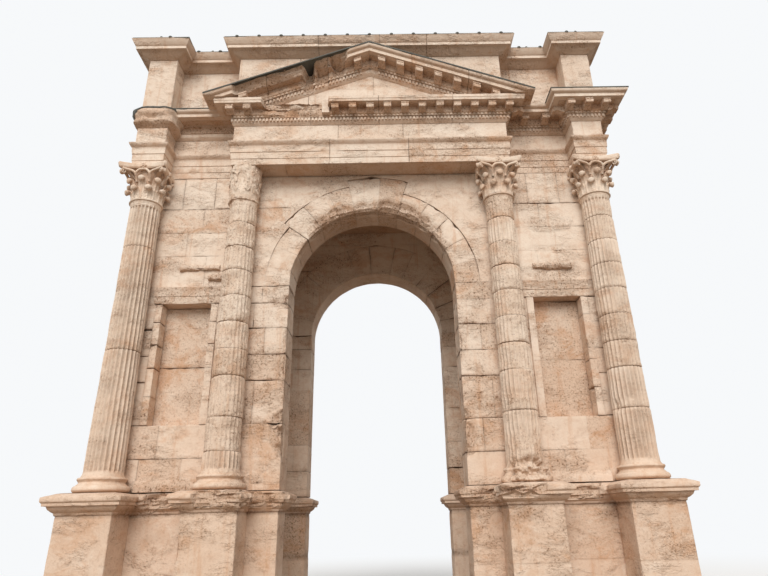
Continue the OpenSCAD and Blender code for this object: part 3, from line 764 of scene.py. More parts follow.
@dataclass
class Run:
    """A moulding or a plain wall face swept along the plan, mitred, jointed and worn.

    The path runs with the outside on its right; the outline gives (out, up) pairs."""

    path: Outline
    outline: Outline
    seed: int
    closed: bool = False
    cell: float = 0.06
    stone: float = 1.25
    beds: tuple[float, ...] = ()
    arris: float = 0.01
    rough: float = 0.004
    scars: tuple[Scar, ...] = ()
    losses: tuple[Loss, ...] = ()
    bend: Place | None = None
    wear: float = 0.2
    capped: bool = False
    # A band of the outline's heights that is given a brown tone: painted shade behind the brackets
    # under the corona.
    brown: Pair = (9e9, 9e9)

    def _stations(self, dice: np.random.Generator) -> tuple[Array, Array, Array, list[Array],
                                                            Array]:
        """Where the outline stands along the path.

        Args:
            dice: The draws that shift the joints.

        Returns:
            Base points, outward directions, distances, the joints of each bed, and one at
            each corner.
        """
        corners = [np.array(p, float) for p in self.path]
        if self.closed:
            corners.append(corners[0])
        steps = [b - a for a, b in zip(corners, corners[1:])]
        lengths = [float(np.linalg.norm(s)) for s in steps]
        outs = [np.array([s[1], -s[0]]) / n for s, n in zip(steps, lengths)]
        ends = np.concatenate([[0.0], np.cumsum(lengths)])
        joints = []
        for _ in range(len(self.beds) + 1):
            row: list[float] = []
            for start, length in zip(ends, lengths):
                n = max(1, round(length / self.stone))
                row += [start + length * (i + dice.uniform(-0.22, 0.22)) / n for i in range(1, n)]
            joints.append(np.array(row))
        base, out, far, turn = [], [], [], []
        for i, (start, length) in enumerate(zip(ends, lengths)):
            marks = set(np.round(spaced(0.0, length, self.cell), 4))
            for row in joints:
                for j in row[(row > start + CLEAR) & (row < start + length - CLEAR)] - start:
                    marks = {m for m in marks
                             if abs(m - j) > BARE or m in (0.0, round(length, 4))}
                    marks |= {round(j + d, 4) for d in (-BESIDE, 0.0, BESIDE)}
            marks = sorted(marks)
            following = (i + 1) % len(outs) if self.closed else i + 1
            for m in marks:
                if m == marks[0] and (i or self.closed):
                    continue
                bent = m == marks[-1] and following < len(outs)
                direction = outs[i]
                if bent:
                    both = outs[i] + outs[following]
                    direction = both / (1.0 + float(outs[i] @ outs[following]))
                base.append(corners[i] + steps[i] * (m / length))
                out.append(direction)
                far.append(start + m)
                turn.append(float(bent))
        return np.array(base), np.array(out), np.array(far), joints, np.array(turn)

    def add_to(self, shape: Shape) -> None:
        """Sweeps the outline along the path into a shape.

        Args:
            shape: Where it is added.
        """
        dice = np.random.default_rng(self.seed)
        grain = Grain(self.seed * 31 + 5)
        base, out, far, joints, turn = self._stations(dice)
        outline = refined(self.outline, self.cell * 1.2)
        step = np.gradient(outline, axis=0)
        before = np.diff(outline, axis=0, prepend=2 * outline[:1] - outline[1:2])
        after = np.diff(outline, axis=0, append=2 * outline[-1:] - outline[-2:-1])
        bent = np.arctan2(before[:, 0] * after[:, 1] - before[:, 1] * after[:, 0],
                          (before * after).sum(1))
        bent[[0, -1]] = 0.0
        facing = np.stack([step[:, 1], -step[:, 0]], 1)
        facing /= np.maximum(np.linalg.norm(facing, axis=1, keepdims=True), 1e-9)
        rows, columns = len(base), len(outline)
        o = np.broadcast_to(outline[:, 0], (rows, columns)).ravel().copy()
        z = np.broadcast_to(outline[:, 1], (rows, columns)).ravel().copy()
        m = np.repeat(out, columns, axis=0)
        p = np.repeat(base, columns, axis=0)
        s = np.repeat(far, columns)
        nose = np.tile(np.clip(bent, 0.0, 1.6), rows) + 0.8 * np.repeat(turn, columns)
        nx, nz = np.tile(facing[:, 0], rows), np.tile(facing[:, 1], rows)
        bend = self.bend or (lambda q: q)
        flat = np.column_stack([p + m * o[:, None], z])
        there = bend(flat)
        broken = np.zeros(len(o))
        for loss in self.losses:
            o, share = loss.cut(there, o, z, grain)
            broken = np.maximum(broken, share)
        lost = all_lost(self.scars, there, grain)
        wavy = grain.layered(there, 0.5, 4)
        fine = grain.layered(there + 3.0, 0.12, 2)
        chips = unit(grain.layered(there + 9.0, 0.3, 3) - 0.22)
        skin = self.rough * np.maximum(0.7 + wavy + 0.7 * fine, 0.0)
        skin += self.arris * nose * (0.35 + 4.5 * chips) * (1.0 - broken)
        skin += 0.8 * lost + 0.012 * broken * np.maximum(fine, 0.0)
        band = np.searchsorted(np.array(self.beds), z)
        seam = np.zeros(len(o))
        tone = np.zeros(len(o))
        for b, row in enumerate(joints):
            mine = band == b
            tints = unit(dice.normal(0.42, 0.19, len(row) + 1))
            tone[mine] = tints[np.searchsorted(row, s[mine])]
            if len(row) and mine.any():
                away = np.abs(s[mine][:, None] - row[None]).min(1)
                seam[mine] = unit(1.0 - away / JOINT)
        # Painted shade: the band under the corona is made brown.
        tone[(z > self.brown[0]) & (z < self.brown[1])] = 1.6
        for bed in self.beds:
            seam = np.maximum(seam, unit(1.0 - np.abs(z - bed) / JOINT))
        skin += 0.01 * seam
        o -= skin * nx
        z -= skin * nz
        points = bend(np.column_stack([p + m * o[:, None], z]))
        wear = unit(self.wear + 0.25 * wavy + 10.0 * lost + 0.8 * broken)
        index = np.arange(rows * columns).reshape(rows, columns)
        if self.closed:
            index = np.vstack([index, index[:1]])
        seam *= 0.8
        tris = []
        if self.capped:
            for row, turned in ((index[0], True), (index[-1], False)):
                fan = np.stack([row, np.roll(row, -1), np.full(columns, len(points))], 1)
                tris.append(fan[:, ::-1] if turned else fan)
                points = np.vstack([points, points[row].mean(0)])
            seam, tone = np.append(seam, (0.0, 0.0)), np.append(tone, (0.5, 0.5))
            wear = np.append(wear, (self.wear, self.wear))
        shape.add(points, cells(index), np.concatenate(tris) if tris else None, seam=seam,
                  tone=tone, wear=wear)


# ---- the plan
@dataclass(frozen=True)
class Plan:
    """The arch's own sizes, in metres, as the CAD frame has them."""

    wall_x: float = 4.8
    wall_y: float = 2.19
    inner_x: float = 4.05
    inner_y: float = 1.45
    arch_r: float = 1.74
    ring_r: float = 2.6
    spring_z: float = 6.7
    side_r: float = 1.325
    side_ring_r: float = 1.75
    side_spring_z: float = 4.175
    column_z: float = 9.35
    frieze_z: float = 9.944
    cornice_z: float = 10.36
    attic_z: float = 10.89
    attic_cornice_z: float = 12.31
    roof_z: float = 12.69
    apex_z: float = 12.29
    col_in_x: float = 2.785
    col_out_x: float = 4.897
    col_y: float = 2.43
    break_x: float = 3.07
    break_y: float = 2.717
    corner_half: float = 0.338
    pediment_half: float = 3.68


PLAN = Plan()


class Facing(Enum):
    """Which way a face of the arch looks, in quarter turns from the -Y front."""

    FRONT = 0
    RIGHT = 1
    BACK = 2
    LEFT = 3

    @property
    def label(self) -> str:
        """The face's name in the names of nodes and pieces."""
        return self.name.lower()

    def turn(self, points: Array) -> Array:
        """Turns points from the front to this face."""
        x, y, z = points[:, 0], points[:, 1], points[:, 2]
        turned = ((x, y), (-y, x), (-x, -y), (y, -x))[self.value]
        return np.column_stack([*turned, z])


def span(side: int, near: float, far: float) -> Pair:
    """A stretch of X on the right of the middle plane, or mirrored to its left."""
    return (near, far) if side > 0 else (-far, -near)


def fitted(facing: Facing, side: int, ring: Pair, start: float, stop: float,
           limit: float = math.inf) -> Place:
    """A bend that fits a block's near end to the back of an arch's voussoirs.

    Args:
        facing: The face that the block belongs to.
        side: 1 right of the middle plane, -1 left of it.
        ring: The radius of the voussoirs' back, and the height of its centre.
        start: Where the block's near end lies before the bend.
        stop: Where its far end lies.
        limit: How far from the middle plane its near end may lie.

    Returns:
        The bend.
    """
    radius, centre_z = ring

    def bend(points: Array) -> Array:
        """Moves the points of one block, then turns them to the face."""
        edge = np.sqrt(np.maximum(radius ** 2 - (points[:, 2] - centre_z) ** 2, 0.0))
        edge = np.minimum(edge, limit)
        share = (points[:, 0] * side - start) / (stop - start)
        x = edge + (stop - edge) * share
        return facing.turn(np.column_stack([x * side, points[:, 1], points[:, 2]]))
    return bend


@dataclass
class Part:
    """A sub-assembly of one face of the arch."""

    finish: Material
    facing: Facing
    seed: int

    def stand(self, shape: Shape, kind: str, form: str = "stones") -> None:
        """Makes the piece for this face's node of a kind."""
        shape.stand_for(f"{kind}_{self.facing.label}", self.finish, form)


def quarter(facing: Facing, side: int) -> str:
    """The corner's name in the CAD frame, from a main front and a side seen from it."""
    front = facing is Facing.FRONT
    left = (side < 0) == front
    return f"{'front' if front else 'back'}_{'left' if left else 'right'}"


# ---- walls
@dataclass
class Pier(Part):
    """A corner pier from its podium to the springing, with its niche."""

    side: int
    cell: float = 0.06
    courses: tuple[float, ...] = (2.66, 3.25, 3.87, 4.7, 5.23, 5.78, 6.32, 6.7)
    niche: Pair = (3.35, 4.33)
    sill_z: float = 3.87
    head_z: float = 6.32
    band: float = 0.15
    band_out: float = 0.025
    bearing: float = 0.18
    niche_depth: float = 0.3
    lintel_worn: float = 0.2
    scars: tuple[Scar, ...] = ()
    joints: tuple[tuple[float, ...], ...] = (
        (2.5, 3.6, 4.4), (2.1, 3.15, 4.1), (2.35,), (2.6,), (2.2,), (2.45,), (2.3,))
    ends: Pair = (3.27, 4.41)
    base: Outline = ((0.0, 2.66), (0.06, 2.66), (0.06, 2.77), (0.052, 2.785), (0.04, 2.8),
                     (0.03, 2.83), (0.012, 2.86), (0.0, 2.876))
    fascia: Outline = ((0.0, 6.33), (0.028, 6.335), (0.03, 6.48), (0.046, 6.484), (0.048, 6.6),
                       (0.075, 6.66), (0.075, 6.685), (0.0, 6.69))

    def _niche(self, wall: Masonry) -> None:
        """The niche's back, its flat bands and its lintel.

        Args:
            wall: The stones of the pier.
        """
        front, deep, back = -PLAN.wall_y, -PLAN.wall_y + self.niche_depth, -PLAN.inner_y
        a, b = self.niche
        turn = self.facing.turn
        # The niche backs get a browner tone than the wall round them, the right one most.
        for z in ((self.sill_z, 5.05), (5.05, self.head_z)):
            wall.course(span(self.side, a - self.band, b + self.band), (deep, back), z, (),
                        shown=THROUGH, bend=turn, wear=0.3,
                        tone=0.95 if self.side > 0 else 0.7)
        near, far = (Side.RIGHT, Side.LEFT) if self.side > 0 else (Side.LEFT, Side.RIGHT)
        stops = (self.sill_z, 4.42, 4.98, 5.46, 5.93, self.head_z)
        for z in zip(stops, stops[1:]):
            for x, open_side in (((a - self.band, a), near), ((b, b + self.band), far)):
                low, high = span(self.side, *x)
                wall.lay(Block((low, front - self.band_out, z[0]), (high, deep, z[1]),
                               (Side.FRONT, open_side), turn, wear=self.lintel_worn))
        low, high = span(self.side, a - self.bearing, b + self.bearing)
        wall.lay(Block((low, front - self.band_out, self.head_z), (high, back, PLAN.spring_z),
                       (Side.FRONT, Side.BACK, Side.BOTTOM), turn, wear=self.lintel_worn))

    def build(self) -> None:
        """Lays the pier's stones and its mouldings."""
        wall = Masonry(self.seed, self.cell, scars=self.scars)
        front, back, turn = -PLAN.wall_y, -PLAN.inner_y, self.facing.turn
        jamb, end = (Side.LEFT, Side.RIGHT) if self.side > 0 else (Side.RIGHT, Side.LEFT)
        a, b = self.niche
        for i, z in enumerate(zip(self.courses, self.courses[1:])):
            joints = [self.side * j for j in self.joints[i]]
            whole = {"shown": THROUGH, "bend": turn}
            if z[0] < self.sill_z:
                top = {"shown": (Side.FRONT, Side.BACK, Side.TOP)} if z[1] >= self.sill_z else {}
                wall.course(span(self.side, PLAN.arch_r, PLAN.wall_x), (front, back), z, joints,
                            ends=(jamb, end), **(whole | top))
                continue
            gap = self.bearing if z[0] >= self.head_z else self.band
            wall.course(span(self.side, PLAN.arch_r, a - gap), (front, back), z, joints,
                        ends=(jamb,), wear=1.4 if self.scars else 0.0, **whole)
            wall.course(span(self.side, b + gap, PLAN.wall_x), (front, back), z, (),
                        ends=(end,), **whole)
        self._niche(wall)
        low, high = span(self.side, PLAN.inner_x, PLAN.wall_x)
        stops = (*self.courses[:2], PLAN.side_spring_z)
        for z in zip(stops, stops[1:]):
            wall.lay(Block((low, back, z[0]), (high, -PLAN.side_r, z[1]),
                           (end, Side.BACK, jamb), turn))
        for x, outline, seed, cell, wear in (
                (self.ends, self.base, 5, 0.05, 0.4),
                ((a - 0.2, b + 0.2), self.fascia, 6, 0.045, 0.3 + 0.5 * self.lintel_worn)):
            low, high = span(self.side, *x)
            Run([(low, front), (high, front)], outline, self.seed + seed, cell=cell,
                scars=self.scars, bend=turn, wear=wear).add_to(wall.shape)
        corner = quarter(self.facing, self.side)
        wall.shape.stand_for(f"pier_{corner}", self.finish)


@dataclass
class Spandrel(Part):
    """The wall over the main arch, cut to the back of its voussoirs."""

    cell: float = 0.06
    courses: tuple[float, ...] = (6.7, 7.41, 7.97, 8.56, 9.35)
    joints: tuple[tuple[float, ...], ...] = ((3.55, 4.3), (3.1, 4.0), (2.9, 3.7),
                                             (1.45, 2.6, 3.5, 4.2))
    scars: tuple[Scar, ...] = ()
    fragments: tuple[Triple, ...] = ((-4.06, -3.23, 7.02), (3.42, 4.25, 6.92), (-3.45, -3.1, 6.8))
    fragment: Outline = ((-0.03, 0.0), (0.05, 0.01), (0.095, 0.05), (0.1, 0.14), (0.06, 0.2),
                         (-0.03, 0.24))

    def build(self) -> None:
        """Lays the spandrels' stones, and on a worn front what is left of a string course."""
        wall = Masonry(self.seed, self.cell, scars=self.scars)
        y = (-PLAN.wall_y, -PLAN.inner_y)
        for side, end in ((-1, Side.LEFT), (1, Side.RIGHT)):
            for i, z in enumerate(zip(self.courses, self.courses[1:])):
                middle = (z[0] + z[1]) / 2 - PLAN.spring_z
                start = sqrt(PLAN.ring_r ** 2 - middle ** 2)
                first = min(j for j in (*self.joints[i], PLAN.wall_x) if j > start + 0.3)
                low, high = span(side, start, first)
                wall.lay(Block((low, y[0], z[0]), (high, y[1], z[1]), THROUGH,
                               fitted(self.facing, side, (PLAN.ring_r, PLAN.spring_z), start,
                                      first)))
                wall.course(span(side, first, PLAN.wall_x), y, z,
                            [side * j for j in self.joints[i] if j > first], shown=THROUGH,
                            ends=(end,), bend=self.facing.turn)
        for low, high, z in self.fragments if self.scars else ():
            Run([(low, y[0]), (high, y[0])], [(o, z + up) for o, up in self.fragment],
                self.seed + 3, cell=0.025, stone=WHOLE, rough=0.045, arris=0.04,
                bend=self.facing.turn, wear=0.8, capped=True).add_to(wall.shape)
        self.stand(wall.shape, "spandrel")


@dataclass
class ArchRing(Part):
    """The voussoirs of one arch."""

    radius: float
    back_radius: float
    spring_z: float
    front: float
    back: float
    joints: tuple[float, ...]
    cell: float = 0.06
    scars: tuple[Scar, ...] = ()
    line_radius: float = 0.0
    seams: Triple = (0.8, 1.0, 1.0)
    crown: Pair = (76, 106)
    haunch: float = 44
    taller: float = 0.14

    def _curved(self, points: Array) -> Array:
        """Bends blocks laid in a straight row round the arch."""
        angle = points[:, 0] / ((self.radius + self.back_radius) / 2)
        return self.facing.turn(np.column_stack([
            -points[:, 2] * np.cos(angle), points[:, 1],
            self.spring_z + points[:, 2] * np.sin(angle)]))

    def build(self) -> None:
        """Lays the voussoirs from the left springing to the right one."""
        ring = Masonry(self.seed, self.cell, scars=self.scars)
        middle = (self.radius + self.back_radius) / 2
        for a, b in zip(self.joints, self.joints[1:]):
            x = radians(a) * middle, radians(b) * middle
            cut = self.back_radius
            if self.line_radius and not self.crown[0] < (a + b) / 2 < self.crown[1]:
                tall = self.haunch < (a + b) / 2 < self.crown[0]
                cut = self.line_radius + (self.taller if tall else 0.0)
            ring.lay(Block((x[0], self.front, self.radius), (x[1], self.back, cut),
                           (Side.FRONT, Side.BACK, Side.BOTTOM), self._curved, seams=self.seams))
            if cut < self.back_radius:
                ring.lay(Block((x[0], self.front, cut), (x[1], self.back, self.back_radius),
                               THROUGH, self._curved, seams=(0.15, 1.0, 0.1)))
        self.stand(ring.shape, "arch", "voussoirs")


@dataclass
class SideWall(Part):
    """The wall over a side arch, between the corner piers."""

    cell: float = 0.08
    courses: tuple[float, ...] = (4.175, 4.8, 5.42, 5.93, 6.6, 7.3, 8.05, 8.7, 9.35)
    whole_z: float = 5.9
    foot_z: float = 4.5

    def build(self) -> None:
        """Lays the wall's stones."""
        wall = Masonry(self.seed, self.cell)
        y = -PLAN.wall_x, -PLAN.inner_x
        half = PLAN.inner_y
        for i, z in enumerate(zip(self.courses, self.courses[1:])):
            if z[0] > self.whole_z:
                wall.course((-half, half), y, z, (-0.75, 0.25, 0.9) if i % 2 else (-0.3, 0.65),
                            shown=THROUGH, bend=self.facing.turn)
                continue
            middle = (z[0] + z[1]) / 2 - PLAN.side_spring_z
            start = min(sqrt(max(PLAN.side_ring_r ** 2 - middle ** 2, 0.0)), half - 0.01)
            if start > half - 0.05 and z[0] < self.foot_z:
                continue
            for side in (-1, 1):
                low, high = span(side, start, half)
                ring = PLAN.side_ring_r, PLAN.side_spring_z
                wall.lay(Block((low, y[0], z[0]), (high, y[1], z[1]), THROUGH,
                               fitted(self.facing, side, ring, start, half, half)))
        self.stand(wall.shape, "side_wall")


@dataclass
class Podium(Part):
    """A corner's podium and its two pedestals, from the plinth to the cap moulding."""

    side: int
    cell: float = 0.06
    pedestal_half: float = 0.485
    face_y: float = 2.94
    scars: tuple[Scar, ...] = ()
    losses: tuple[Loss, ...] = ()
    beds: Triple = (0.44, 1.36, 2.28)
    outline: Outline = (
        (0.11, 0.0), (0.11, 0.272), (0.099, 0.29), (0.09, 0.325), (0.055, 0.365),
        (0.03, 0.405), (0.022, 0.418), (0.0, 0.44), (0.0, 2.278), (0.024, 2.282), (0.024, 2.33),
        (0.042, 2.338), (0.06, 2.352), (0.095, 2.382), (0.108, 2.412), (0.112, 2.43),
        (0.165, 2.436), (0.172, 2.44), (0.172, 2.486), (0.184, 2.492), (0.196, 2.505),
        (0.2, 2.522), (0.2, 2.575), (0.19, 2.59), (0.03, 2.65), (-0.33, 2.66))

    def path(self) -> list[Pair]:
        """The plan of the corner, with the outside on the right hand."""
        h, f, w = self.pedestal_half, -self.face_y, -PLAN.wall_y
        a, b, back = PLAN.col_in_x, PLAN.col_out_x, f + 2 * h
        points = [(PLAN.arch_r, w), (a - h, w), (a - h, f), (a + h, f), (a + h, w), (b - h, w),
                  (b - h, f), (b + h, f), (b + h, back), (PLAN.wall_x, back),
                  (PLAN.wall_x, -PLAN.side_r), (PLAN.inner_x, -PLAN.side_r),
                  (PLAN.inner_x, -PLAN.inner_y), (PLAN.arch_r, -PLAN.inner_y)]
        return points if self.side > 0 else [(-x, y) for x, y in reversed(points)]

    def build(self) -> None:
        """Sweeps the podium's mouldings and dies round the corner."""
        shape = Shape()
        Run(self.path(), self.outline, self.seed, closed=True, cell=self.cell, stone=1.1,
            beds=self.beds, arris=0.012, rough=0.006, scars=self.scars,
            losses=self.losses, bend=self.facing.turn, wear=0.25).add_to(shape)
        corner = quarter(self.facing, self.side)
        shape.make(f"podium_{corner}", self.finish, [f"pedestals_{corner}"])


# ---- columns
@dataclass
class Column:
    """A fluted column of stacked drums on its moulded base."""

    x: float
    y: float
    seed: int
    wear: float = 0.3
    joints: tuple[float, ...] = (3.93, 4.7, 5.23, 5.78, 6.33, 6.88, 7.41, 7.97)
    cell: float = 0.07
    foot: float = 0.345
    head: float = 0.305
    base_z: float = 2.66
    shaft_z: float = 2.93
    neck_z: float = 8.55
    flutes: int = 24
    flute_depth: float = 0.038
    flute_half: float = 0.365
    flute_ends: Pair = (0.11, 0.2)
    flute_round: float = 0.031
    scars: tuple[Scar, ...] = ()
    fine: bool = True
    renewed: Pair = (0.0, 0.0)
    base: Outline = (
        (0.0, 0.0), (0.42, 0.0), (0.455, 0.012), (0.476, 0.035), (0.48, 0.06), (0.474, 0.09),
        (0.455, 0.112), (0.425, 0.12), (0.421, 0.135), (0.398, 0.15), (0.388, 0.168),
        (0.392, 0.185), (0.404, 0.196), (0.406, 0.205), (0.418, 0.215), (0.422, 0.23),
        (0.414, 0.248), (0.398, 0.256), (0.37, 0.258), (0.366, 0.275), (0.352, 0.3))
    collar: Outline = (
        (0.003, -0.1), (0.012, -0.075), (0.013, -0.062), (0.024, -0.058), (0.038, -0.045),
        (0.041, -0.034), (0.036, -0.02), (0.022, -0.008), (0.004, 0.0), (-0.03, 0.004))

    def _rings(self) -> tuple[Array, Array, Array]:
        """Radius, height and depth of fluting of each ring of points, from the foot up."""
        rows = [(out, self.base_z + up, 0.0) for out, up in self.base]
        low, high = self.shaft_z + self.flute_ends[0], self.neck_z - self.flute_ends[1]
        marks = set(np.round(np.arange(self.shaft_z + 0.06, self.neck_z - 0.11, self.cell), 3))
        for j in self.joints:
            marks = {m for m in marks if abs(m - j) > 1.1 * BARE} | {j - BESIDE, j, j + BESIDE}
        for end in (low, high):
            marks |= {end + d for d in (-0.028, -0.015, 0.0, 0.02)}
        for z in sorted(marks):
            share = (z - self.shaft_z) / (self.neck_z - self.shaft_z)
            over = max(low - z, z - high, 0.0)
            flute = sqrt(max(1.0 - (over / self.flute_round) ** 2, 0.0)) if over else 1.0
            rows.append((self.foot + (self.head - self.foot) * share, z, flute))
        rows += [(self.head + out, self.neck_z + up, 0.0) for out, up in self.collar]
        return tuple(np.array(rows).T)

    def build(self, name: str, finish: Material) -> None:
        """Turns the rings into the column's surface.

        Args:
            name: The CAD node that it stands for.
            finish: Its material.
        """
        dice = np.random.default_rng(self.seed)
        grain = Grain(self.seed)
        radius, height, fluting = self._rings()
        steps = np.array([-0.5, -0.35, -0.2, 0.0, 0.2, 0.35] if self.fine
                         else [-0.5, -0.34, 0.0, 0.34])
        turns = (np.arange(self.flutes)[:, None] + steps[None]).ravel() / self.flutes
        hollow = np.tile(np.sqrt(unit(1.0 - (steps / self.flute_half) ** 2)), self.flutes)
        angle = 2 * pi * turns
        rows, columns = len(radius), len(angle)
        ring = np.stack([np.cos(angle), np.sin(angle)], 1)
        r = np.repeat(radius, columns)
        z = np.repeat(height, columns)
        flute = np.repeat(fluting, columns) * np.tile(hollow, rows)
        out = np.tile(ring, (rows, 1))
        there = np.column_stack([self.x + r * out[:, 0], self.y + r * out[:, 1], z])
        wavy = grain.layered(there, 0.55, 4)
        fine = grain.layered(there + 2.0, 0.1, 2)
        worn = unit((grain.layered(there + 7.0, 0.9, 2) + 1.5 * self.wear - 0.45) / 0.35)
        worn *= min(1.0, 1.6 * self.wear)
        lost = all_lost(self.scars, there, grain)
        old = ((z < self.renewed[0]) | (z > self.renewed[1])).astype(float)
        lost *= old
        worn = np.maximum(worn, unit(lost / 0.03)) * old
        joints = np.array(self.joints)
        away = np.abs(z[:, None] - joints[None]).min(1)
        seam = unit(1.0 - away / JOINT)
        drum = np.searchsorted(joints, z)
        tints = unit(dice.normal(0.4, 0.2, len(joints) + 1))
        shift = dice.normal(0.0, 0.0035 * (0.4 + self.wear), (len(joints) + 1, 2))
        chips = unit(grain.layered(there + 11.0, 0.28, 3) - 0.05)
        depth = self.flute_depth * flute * (1.0 - 0.65 * worn)
        skin = 0.013 * worn * (1.0 + wavy + 1.1 * fine) + 0.002 * fine
        skin += 0.011 * seam + self.wear * chips * np.exp(-away / 0.045) * 0.085
        skin += lost
        edge = np.tile(np.abs(np.abs(np.tile(steps, self.flutes)) - 0.5) < 0.01, rows)
        skin += 0.006 * edge * unit(chips * 3.0) * (np.repeat(fluting, columns) > 0)
        r = np.maximum(r - depth - skin, 0.0)
        points = np.column_stack([self.x + shift[drum, 0] + r * out[:, 0],
                                  self.y + shift[drum, 1] + r * out[:, 1], z])
        index = np.arange(rows * columns).reshape(rows, columns)
        quads = np.roll(cells(np.hstack([index, index[:, :1]]))[:, ::-1], 1, axis=1)
        shape = Shape()
        # The flutes' hollows are added to the joint mark, which darkens them: painted shade in the
        # flutes.
        shape.add(points, quads, seam=unit(seam + 0.4 * flute * (1 - worn)),
                  tone=tints[drum], wear=unit(worn * 0.8 + 0.2 * wavy + 8.0 * lost))
        shape.stand_for(name, finish, "drums", sharp=50.0)


# ---- carved forms
def sheet(points: Array, rows: int, columns: int, shape: Shape, wrap: bool = False,
          turned: bool = False, **marks: object) -> None:
    """Adds a grid of points as a surface.

    Args:
        points: The points, row by row.
        rows: How many rows there are.
        columns: How many points a row has.
        shape: Where the surface is added.
        wrap: Joins each row's end to its start.
        turned: Turns the faces over.
        marks: The surface's seam, wear and tone.
    """
    index = np.arange(rows * columns).reshape(rows, columns)
    if wrap:
        index = np.hstack([index, index[:, :1]])
    quads = cells(index)
    shape.add(points, quads[:, ::-1] if turned else quads, **marks)


def dentil(width: float = 0.046, out: float = 0.034, high: float = 0.066) -> Shape:
    """One tooth of a dentil band; its back lies at y = 0 and it points to -Y.

    Args:
        width: Its width.
        out: How far it stands out.
        high: Its height.

    Returns:
        The tooth.
    """
    x, y, z = width / 2, -out, high
    points = np.array([(-x, 0.01, 0), (x, 0.01, 0), (x, 0.01, z), (-x, 0.01, z),
                       (-x, y, 0), (x, y, 0), (x, y, z), (-x, y, z)])
    quads = [(4, 5, 6, 7), (0, 1, 5, 4), (3, 7, 6, 2), (0, 4, 7, 3), (1, 2, 6, 5)]
    made = Shape()
    made.add(points, quads, tone=0.45, wear=0.5)
    return made


def egg(width: float = 0.08, out: float = 0.024, high: float = 0.058) -> Shape:
    """One egg of an egg band, with the dart beside it.

    Args:
        width: Its width.
        out: How far it stands out.
        high: Its height.

    Returns:
        The egg and its dart.
    """
    u = np.linspace(0.0, pi, 6)
    v = np.linspace(-0.5, 1.0, 6) * pi / 2
    points = np.array([(-cos(a) * cos(b) * width * 0.42,
                        -sin(a) * cos(b) * out, (sin(b) + 0.7) * high * 0.6)
                       for b in v for a in u])
    made = Shape()
    sheet(points, 6, 6, made, turned=True, tone=0.45, wear=0.55)
    x = width / 2
    dart = np.array([(x - 0.009, 0.005, 0), (x + 0.009, 0.005, 0), (x, -out * 0.7, 0.0),
                     (x - 0.009, 0.005, high), (x + 0.009, 0.005, high), (x, -out * 0.7, high)])
    made.add(dart, [(0, 2, 5, 3), (2, 1, 4, 5)], tone=0.45, wear=0.5)
    return made


def modillion(width: float = 0.172, out: float = 0.218, high: float = 0.15) -> Shape:
    """A scrolled bracket with a leaf under it; it hangs from z = 0 and points to -Y.

    Args:
        width: Its width.
        out: How far it stands out.
        high: Its height.

    Returns:
        The bracket.
    """
    side = [(0.0, -1.0), (0.12, -1.02), (0.26, -0.93), (0.4, -0.76), (0.52, -0.64), (0.66, -0.6),
            (0.8, -0.72), (0.92, -0.88), (1.0, -0.84), (1.04, -0.62), (1.0, -0.38), (0.92, -0.3),
            (0.98, -0.22), (0.99, 0.0)]
    across = np.array([-0.5, -0.42, -0.2, 0.0, 0.2, 0.42, 0.5])
    swell = np.array([0.0, 0.0, 0.09, 0.16, 0.09, 0.0, 0.0])
    waist = np.array([1.0, 1.0, 0.97, 0.93, 0.9, 0.88, 0.88, 0.9, 0.92, 0.94, 0.95, 0.96, 1.0, 1.0])
    points = np.array([(a * width * w, -o * out, (u - s * sin(min(o, 1.0) * pi)) * high)
                       for (o, u), w in zip(side, waist) for a, s in zip(across, swell)])
    made = Shape()
    sheet(points, len(side), len(across), made, turned=True, tone=0.9, wear=0.5)
    for column, way in ((0, 1), (len(across) - 1, -1)):
        rim = np.arange(len(side)) * len(across) + column
        x = points[rim[0], 0]
        fan = np.vstack([points[rim], [[x, -out * 0.45, -0.35 * high], [x, 0.01, 0.0]]])
        ring = [*range(len(side)), len(side) + 1]
        tris = [(len(side), a, b)[::way] for a, b in zip(ring, ring[1:] + ring[:1])]
        # The sides get tone 1.2, browner than the front: painted shade between the brackets.
        made.add(fan, np.zeros((0, 4), int), tris, tone=1.2, wear=0.5)
    return made


@dataclass(frozen=True)
class Band:
    """How one carved form stands on a cornice and repeats along it: how far out and up it is
    set, how far apart the forms are, half of one's width, and how far one stands out."""

    form: Shape
    out: float
    up: float
    pitch: float
    half: float
    reach: float


DENTILS = Band(dentil(), 0.06, 0.08, 0.078, 0.023, 0.034)
EGGS = Band(egg(), 0.104, 0.158, 0.086, 0.04, 0.024)
SHORT_BRACKETS = Band(modillion(), 0.145, 0.36, 0.39, 0.086, 0.218)
BRACKETS = Band(modillion(out=0.275), 0.145, 0.347, 0.39, 0.086, 0.275)


